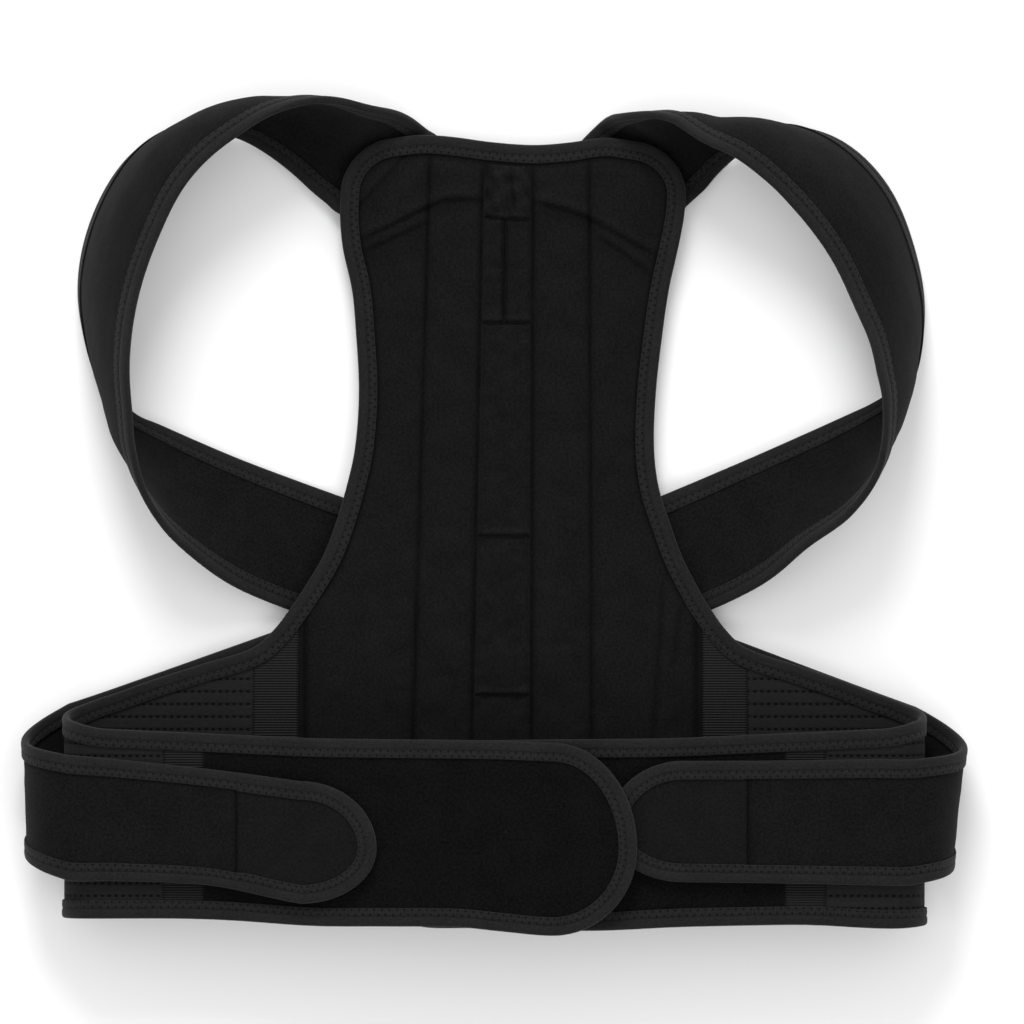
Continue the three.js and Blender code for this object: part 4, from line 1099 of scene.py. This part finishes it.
class Cloth:
    """A cloth material under way: the Principled shader, its colour and its height, built up in steps."""

    def __init__(self, name, colour, roughness, sheen, specular=0.04):
        self.material = bpy.data.materials.new(name)
        self.material.use_nodes = True
        self.wires = Wires(self.material.node_tree)
        self.shader = self.material.node_tree.nodes["Principled BSDF"]
        self.shader.inputs["Roughness"].default_value = roughness
        self.shader.inputs["Specular IOR Level"].default_value = specular
        self.shader.inputs["Sheen Weight"].default_value = sheen
        self.shader.inputs["Sheen Roughness"].default_value = 0.55
        self.uv = self.wires.node("ShaderNodeUVMap", uv_map="UVMap").outputs[0]
        self.colour = tuple(colour)
        self.base = None
        self.height = 0.5

    def use(self, group, **numbers):
        """Outputs of a shared group with its numbers set."""
        inputs = {key.replace("_", " "): value for key, value in numbers.items()}
        return self.wires.node("ShaderNodeGroup", {"UV": self.uv, **inputs}, node_tree=group()).outputs

    def tint(self, times):
        return (*(times * c for c in self.colour), 1.0)

    def shaded(self, mask, low, high):
        """Ground colour that goes from low to high times the cloth's own with a mask."""
        self.base = self.wires.blend(mask, self.tint(low), self.tint(high))

    def marked(self, mask, times, share=None):
        """Colour turned towards a multiple of the cloth's own where a mask is 1, if wanted by a share."""
        if share is not None:
            mask = self.wires.math("MULTIPLY", mask, share)
        self.base = self.wires.blend(mask, self.base, self.tint(times))

    def painted_fold_shade(self, depth):
        """Painted shade: colour scaled by 1 less depth times the mesh's own fold attribute, its light lost.
        """
        fold = self.wires.node("ShaderNodeAttribute", attribute_name="fold").outputs["Fac"]
        scale = self.wires.math("MAXIMUM", self.wires.math("MULTIPLY_ADD", fold, -depth, 1.0), 0.05)
        inputs = {0: self.base, "Scale": scale}
        self.base = self.wires.node("ShaderNodeVectorMath", inputs, operation="SCALE").outputs[0]

    def raised(self, mask, by):
        self.height = self.wires.math("MULTIPLY_ADD", mask, by, self.height)

    def done(self, depth):
        bump = self.wires.node("ShaderNodeBump", {"Height": self.height, "Distance": depth, "Strength": 1.0})
        self.wires.tree.links.new(self.base, self.shader.inputs["Base Color"])
        self.wires.tree.links.new(bump.outputs[0], self.shader.inputs["Normal"])
        return self.material


def sizes():
    return bpy.context.scene.brace_sizes


def colours():
    return bpy.context.scene.brace_colours


def woven(kind):
    """Woven or knitted cloth of the table: fuzzy weave, mottle, specks of lint and painted shade in folds."""
    name, roughness, sheen, threads, fuzz, mottle, shades, specks, loss, depth = WOVEN[kind]
    cloth = Cloth(name, getattr(colours(), kind), roughness, sheen)
    along, across = (sizes().weave_pitch * times for times in threads)
    weave = cloth.use(weave_group, Pitch_Along=along, Pitch_Across=across, Fuzz=fuzz)
    cloth.shaded(cloth.wires.ramp(weave["Mottle"], *mottle), *shades)
    if specks:
        cloth.marked(cloth.use(lint_group, Scale=specks[0], Amount=specks[1])["Speck"], LINT_SHADE)
    if loss:
        cloth.painted_fold_shade(loss)
    cloth.height = weave["Height"]
    return cloth.done(depth)


def elastic():
    """Elastic with rows of small holes: woven bands between the rows, darker along each row, and holes
    painted dark as painted shade.
    """
    cloth = Cloth("Perforated elastic", colours().elastic, 0.85, 0.03)
    weave = cloth.use(weave_group, Pitch_Along=0.0009, Pitch_Across=0.0006, Fuzz=0.4)
    pitch = {"Row_Pitch": sizes().row_pitch, "Hole_Pitch": sizes().hole_pitch}
    holes = cloth.use(holes_group, Radius=sizes().hole_radius, **pitch)
    cloth.shaded(cloth.wires.ramp(weave["Mottle"], 0.3, 0.7), 0.75, 1.25)
    cloth.marked(holes["Row"], 0.6, 0.45)
    # The holes are painted dark: painted shade for the openings.
    cloth.marked(holes["Hole"], 0.12)
    cloth.height = cloth.wires.math("MULTIPLY", weave["Height"], 0.35)
    cloth.raised(holes["Row"], -0.5)
    cloth.raised(holes["Hole"], -1.2)
    return cloth.done(0.0004)


def webbing():
    """Ribbed webbing: fine ribs across the tape, with a painted highlight on each rib and painted shade
    between them.
    """
    cloth = Cloth("Ribbed webbing", colours().webbing, 0.55, 0.02, 0.1)
    ribs = cloth.use(ribs_group, Pitch=sizes().rib_pitch, Fuzz=0.2)
    # Painted highlight on each rib and painted shade between the ribs, from 0.05 to 2.9 times the colour.
    cloth.shaded(cloth.wires.ramp(ribs["Height"], 0.35, 0.85), 0.05, 2.9)
    cloth.height = ribs["Height"]
    return cloth.done(0.0004)


def tape():
    """Knitted binding tape: a fine knit, a groove beside the edge roll, a zigzag seam with needle holes in
    the flat part, and painted shade in the groove, in the holes and at the lip. Distances across are from the
    lip."""
    cloth = Cloth("Binding tape", colours().tape, 0.8, 0.06, 0.07)
    weave = cloth.use(weave_group, Pitch_Along=0.0011, Pitch_Across=0.0008, Fuzz=0.45)
    seam = {"Centre": STITCH_CENTRE, "Swing": STITCH_SWING, "Thread": sizes().thread_width}
    stitch = cloth.use(stitch_group, Pitch=sizes().stitch_pitch, **seam)
    across = cloth.wires.plan(cloth.uv)[1]
    groove = cloth.wires.fade(cloth.wires.apart(across, GROOVE), 0.0, 0.0007)
    cloth.shaded(cloth.wires.ramp(weave["Mottle"], 0.36, 0.64), 0.62, 1.4)
    cloth.marked(weave["Height"], 0.55, 0.35)
    cloth.marked(stitch["Thread"], 1.6, 0.6)
    # Needle holes, groove and lip are painted dark: painted shade.
    cloth.marked(stitch["Hole"], 0.05, 0.95)
    cloth.marked(groove, 0.2, 0.5)
    cloth.marked(cloth.wires.fade(across, 0.0, 0.0009), 0.1, 0.65)
    cloth.height = cloth.wires.math("MULTIPLY", weave["Height"], 0.3)
    cloth.raised(stitch["Thread"], 0.5)
    cloth.raised(stitch["Hole"], -1.4)
    return cloth.done(0.0003)


@functools.cache
def material(kind):
    """The material of a kind of cloth, made at its first use."""
    makers = {"elastic": elastic, "webbing": webbing, "tape": tape}
    return makers[kind]() if kind in makers else woven(kind)


def floor_material():
    """Pale floor with a faint cloudy variation."""
    material = bpy.data.materials.new("Pale floor")
    material.use_nodes = True
    wires = Wires(material.node_tree)
    shader = material.node_tree.nodes["Principled BSDF"]
    shader.inputs["Roughness"].default_value = 0.9
    shader.inputs["Specular IOR Level"].default_value = 0.1
    clouds = wires.noise(wires.node("ShaderNodeTexCoord").outputs["Object"], 3.0, 2.0)
    pale = tuple(colours().floor)
    base = wires.blend(clouds, (*(0.99 * c for c in pale), 1), (*pale, 1))
    wires.tree.links.new(base, shader.inputs["Base Color"])
    return material


# Properties, operators and the panel that lists them


def length(name, description, default):
    return bpy.props.FloatProperty(
        name=name, description=description, default=default, min=0.0001, unit="LENGTH", precision=5
    )


def shade(name, description, default):
    return bpy.props.FloatVectorProperty(
        name=name, description=description, default=(default,) * 3, subtype="COLOR", min=0, max=1
    )


class BraceSizes(bpy.types.PropertyGroup):
    """Sizes of the cloths' patterns."""

    weave_pitch: length("Weave", "Distance between threads of the panel's knit", 0.0009)
    rib_pitch: length("Ribs", "Distance between ribs of the webbing", 0.00145)
    row_pitch: length("Hole rows", "Distance between rows of holes in the elastic", 0.0071)
    hole_pitch: length("Holes", "Distance between holes of a row", 0.0039)
    hole_radius: length("Hole radius", "Radius of a hole in the elastic", 0.0009)
    stitch_pitch: length("Stitch", "Length of one zigzag of the binding's stitches", 0.0042)
    thread_width: length("Thread", "Half width of the stitching thread", 0.0005)
    floor_size: length("Floor", "Side of the pale floor", 6.0)


class BraceColours(bpy.types.PropertyGroup):
    """Ground colours of the cloths."""

    panel: shade("Panel", "Brushed knit of the padded panel", 0.0053)
    strap: shade("Straps", "Loop cloth of the shoulder straps", 0.0045)
    velvet: shade("Front pads", "Velvet loop pile", 0.0026)
    tab: shade("Tabs", "Cloth of the strap's tabs", 0.0053)
    elastic: shade("Elastic", "Perforated elastic of the sides", 0.0120)
    webbing: shade("Webbing", "Ribbed webbing", 0.0038)
    tape: shade("Binding", "Knitted binding tape", 0.0096)
    floor: shade("Floor", "Pale floor", 0.92)


class BRACE_OT_panel(bpy.types.Operator):
    """Padded back panel: simulated cover, seams, ridges of the straps' ends"""

    bl_idname = "brace.panel"
    bl_label = "Back panel"

    def execute(self, context):
        PANEL.simulate()
        piece = worn(make_panel(material("panel")), "panel_fabric", "back_panel")
        return {"FINISHED"}


class BRACE_OT_patches(bpy.types.Operator):
    """Patches and flaps sewn over the stay in the middle channel"""

    bl_idname = "brace.patches"
    bl_label = "Stay patches"

    def execute(self, context):
        for node, low, high, start, end in STAY_PIECES:
            piece = make_patch(node + "_cloth", low, high, start, end, material("panel"))
            worn(piece, "panel_fabric", node)
        return {"FINISHED"}


class BRACE_OT_wings(bpy.types.Operator):
    """Belt wings: webbing, perforated elastic, front webbing and velvet pads"""

    bl_idname = "brace.wings"
    bl_label = "Belt wings"

    def execute(self, context):
        for side, end in ENDS.items():
            cuts = wing_cuts(side)
            for index, (node, slot, cloth, thick, relief) in enumerate(WING_PIECES):
                name = node + end
                band = (side, cuts[index], cuts[index + 1])
                piece, (flat, area) = make_wing_piece(name + "_cloth", *band, material(cloth), thick, relief)
                worn(piece, slot, name)
        return {"FINISHED"}


class BRACE_OT_belt_tape(bpy.types.Operator):
    """Binding tape sewn round the whole panel and belt"""

    bl_idname = "brace.belt_tape"
    bl_label = "Belt binding"

    def execute(self, context):
        nodes = ["panel_binding", "belt_binding_left", "hem_binding", "belt_binding_right"]
        worn(make_belt_tape(material("tape")), "binding_tape", *nodes)
        return {"FINISHED"}


class BRACE_OT_straps(bpy.types.Operator):
    """Shoulder straps with their arm loops, tabs and binding tapes"""

    bl_idname = "brace.straps"
    bl_label = "Shoulder straps"

    def execute(self, context):
        for side, end in ENDS.items():
            strap = STRAPS[side]
            cloth = make_strap("shoulder_strap" + end + "_cloth", strap, material("strap"))
            worn(cloth, "strap_fabric", "shoulder_strap" + end)
            flat = (STRAP_WIDTH / 1000, float(strap.along[-1]) / 1000)
            tab, (flat, area) = make_tab("strap_tab" + end + "_cloth", strap, material("tab"))
            worn(tab, "tab_fabric", "strap_tab" + end)
            tape = make_strap_tape("strap_tape" + end, strap, material("tape"))
            worn(tape, "binding_tape", "strap_binding" + end)
        return {"FINISHED"}


class BRACE_OT_stage(bpy.types.Operator):
    """Pale floor, soft studio light and the camera straight above"""

    bl_idname = "brace.stage"
    bl_label = "Stage"

    def execute(self, context):
        scene = context.scene
        half = sizes().floor_size / 2
        mesh = bpy.data.meshes.new("floor")
        corners = [(-half, -half, 0), (half, -half, 0), (half, half, 0), (-half, half, 0)]
        mesh.from_pydata(corners, [], [(0, 1, 2, 3)])
        mesh.materials.append(floor_material())
        floor = bpy.data.objects.new("floor", mesh)
        scene.collection.objects.link(floor)

        world = bpy.data.worlds.new("Studio")
        world.use_nodes = True
        background = world.node_tree.nodes["Background"]
        background.inputs["Color"].default_value = (1, 1, 1, 1)
        background.inputs["Strength"].default_value = WORLD_STRENGTH
        scene.world = world
        for name, place, size, power in LAMPS:
            light = bpy.data.lights.new(name, "AREA")
            light.shape, light.size, light.energy = "DISK", size, power
            lamp = bpy.data.objects.new(name, light)
            lamp.location = place
            lamp.rotation_euler = (-Vector(place)).to_track_quat("-Z", "Y").to_euler()
            scene.collection.objects.link(lamp)

        camera = bpy.data.cameras.new("camera")
        viewer = bpy.data.objects.new("camera", camera)
        scene.collection.objects.link(viewer)
        camera.sensor_width = 36
        camera.lens = camera.sensor_width * CAMERA_DISTANCE / PHOTO_WIDTH
        camera.clip_end = 100
        viewer.location = (*PHOTO_MIDDLE, PHOTO_LEVEL + CAMERA_DISTANCE)
        scene.camera = viewer
        scene.view_settings.view_transform = "Standard"
        return {"FINISHED"}


class BRACE_PT_pieces(bpy.types.Panel):
    """Pieces of the brace in the order in which they are made"""

    bl_label = "Back brace"
    bl_idname = "BRACE_PT_pieces"
    bl_space_type = "VIEW_3D"
    bl_region_type = "UI"
    bl_category = "Brace"

    def draw(self, context):
        for operator in OPERATORS:
            self.layout.operator(operator.bl_idname)
        for properties in (context.scene.brace_sizes, context.scene.brace_colours):
            for key in properties.__annotations__:
                self.layout.prop(properties, key)


OPERATORS = [
    BRACE_OT_panel,
    BRACE_OT_patches,
    BRACE_OT_wings,
    BRACE_OT_belt_tape,
    BRACE_OT_straps,
    BRACE_OT_stage,
]
CLASSES = [BraceSizes, BraceColours, *OPERATORS, BRACE_PT_pieces]


def register():
    for cls in CLASSES:
        bpy.utils.register_class(cls)
    bpy.types.Scene.brace_sizes = bpy.props.PointerProperty(type=BraceSizes)
    bpy.types.Scene.brace_colours = bpy.props.PointerProperty(type=BraceColours)


def unregister():
    del bpy.types.Scene.brace_colours
    del bpy.types.Scene.brace_sizes
    for cls in reversed(CLASSES):
        bpy.utils.unregister_class(cls)


def main():
    register()
    for operator in OPERATORS:
        family, name = operator.bl_idname.split(".")
        getattr(getattr(bpy.ops, family), name)()


if __name__ == "__main__":
    main()
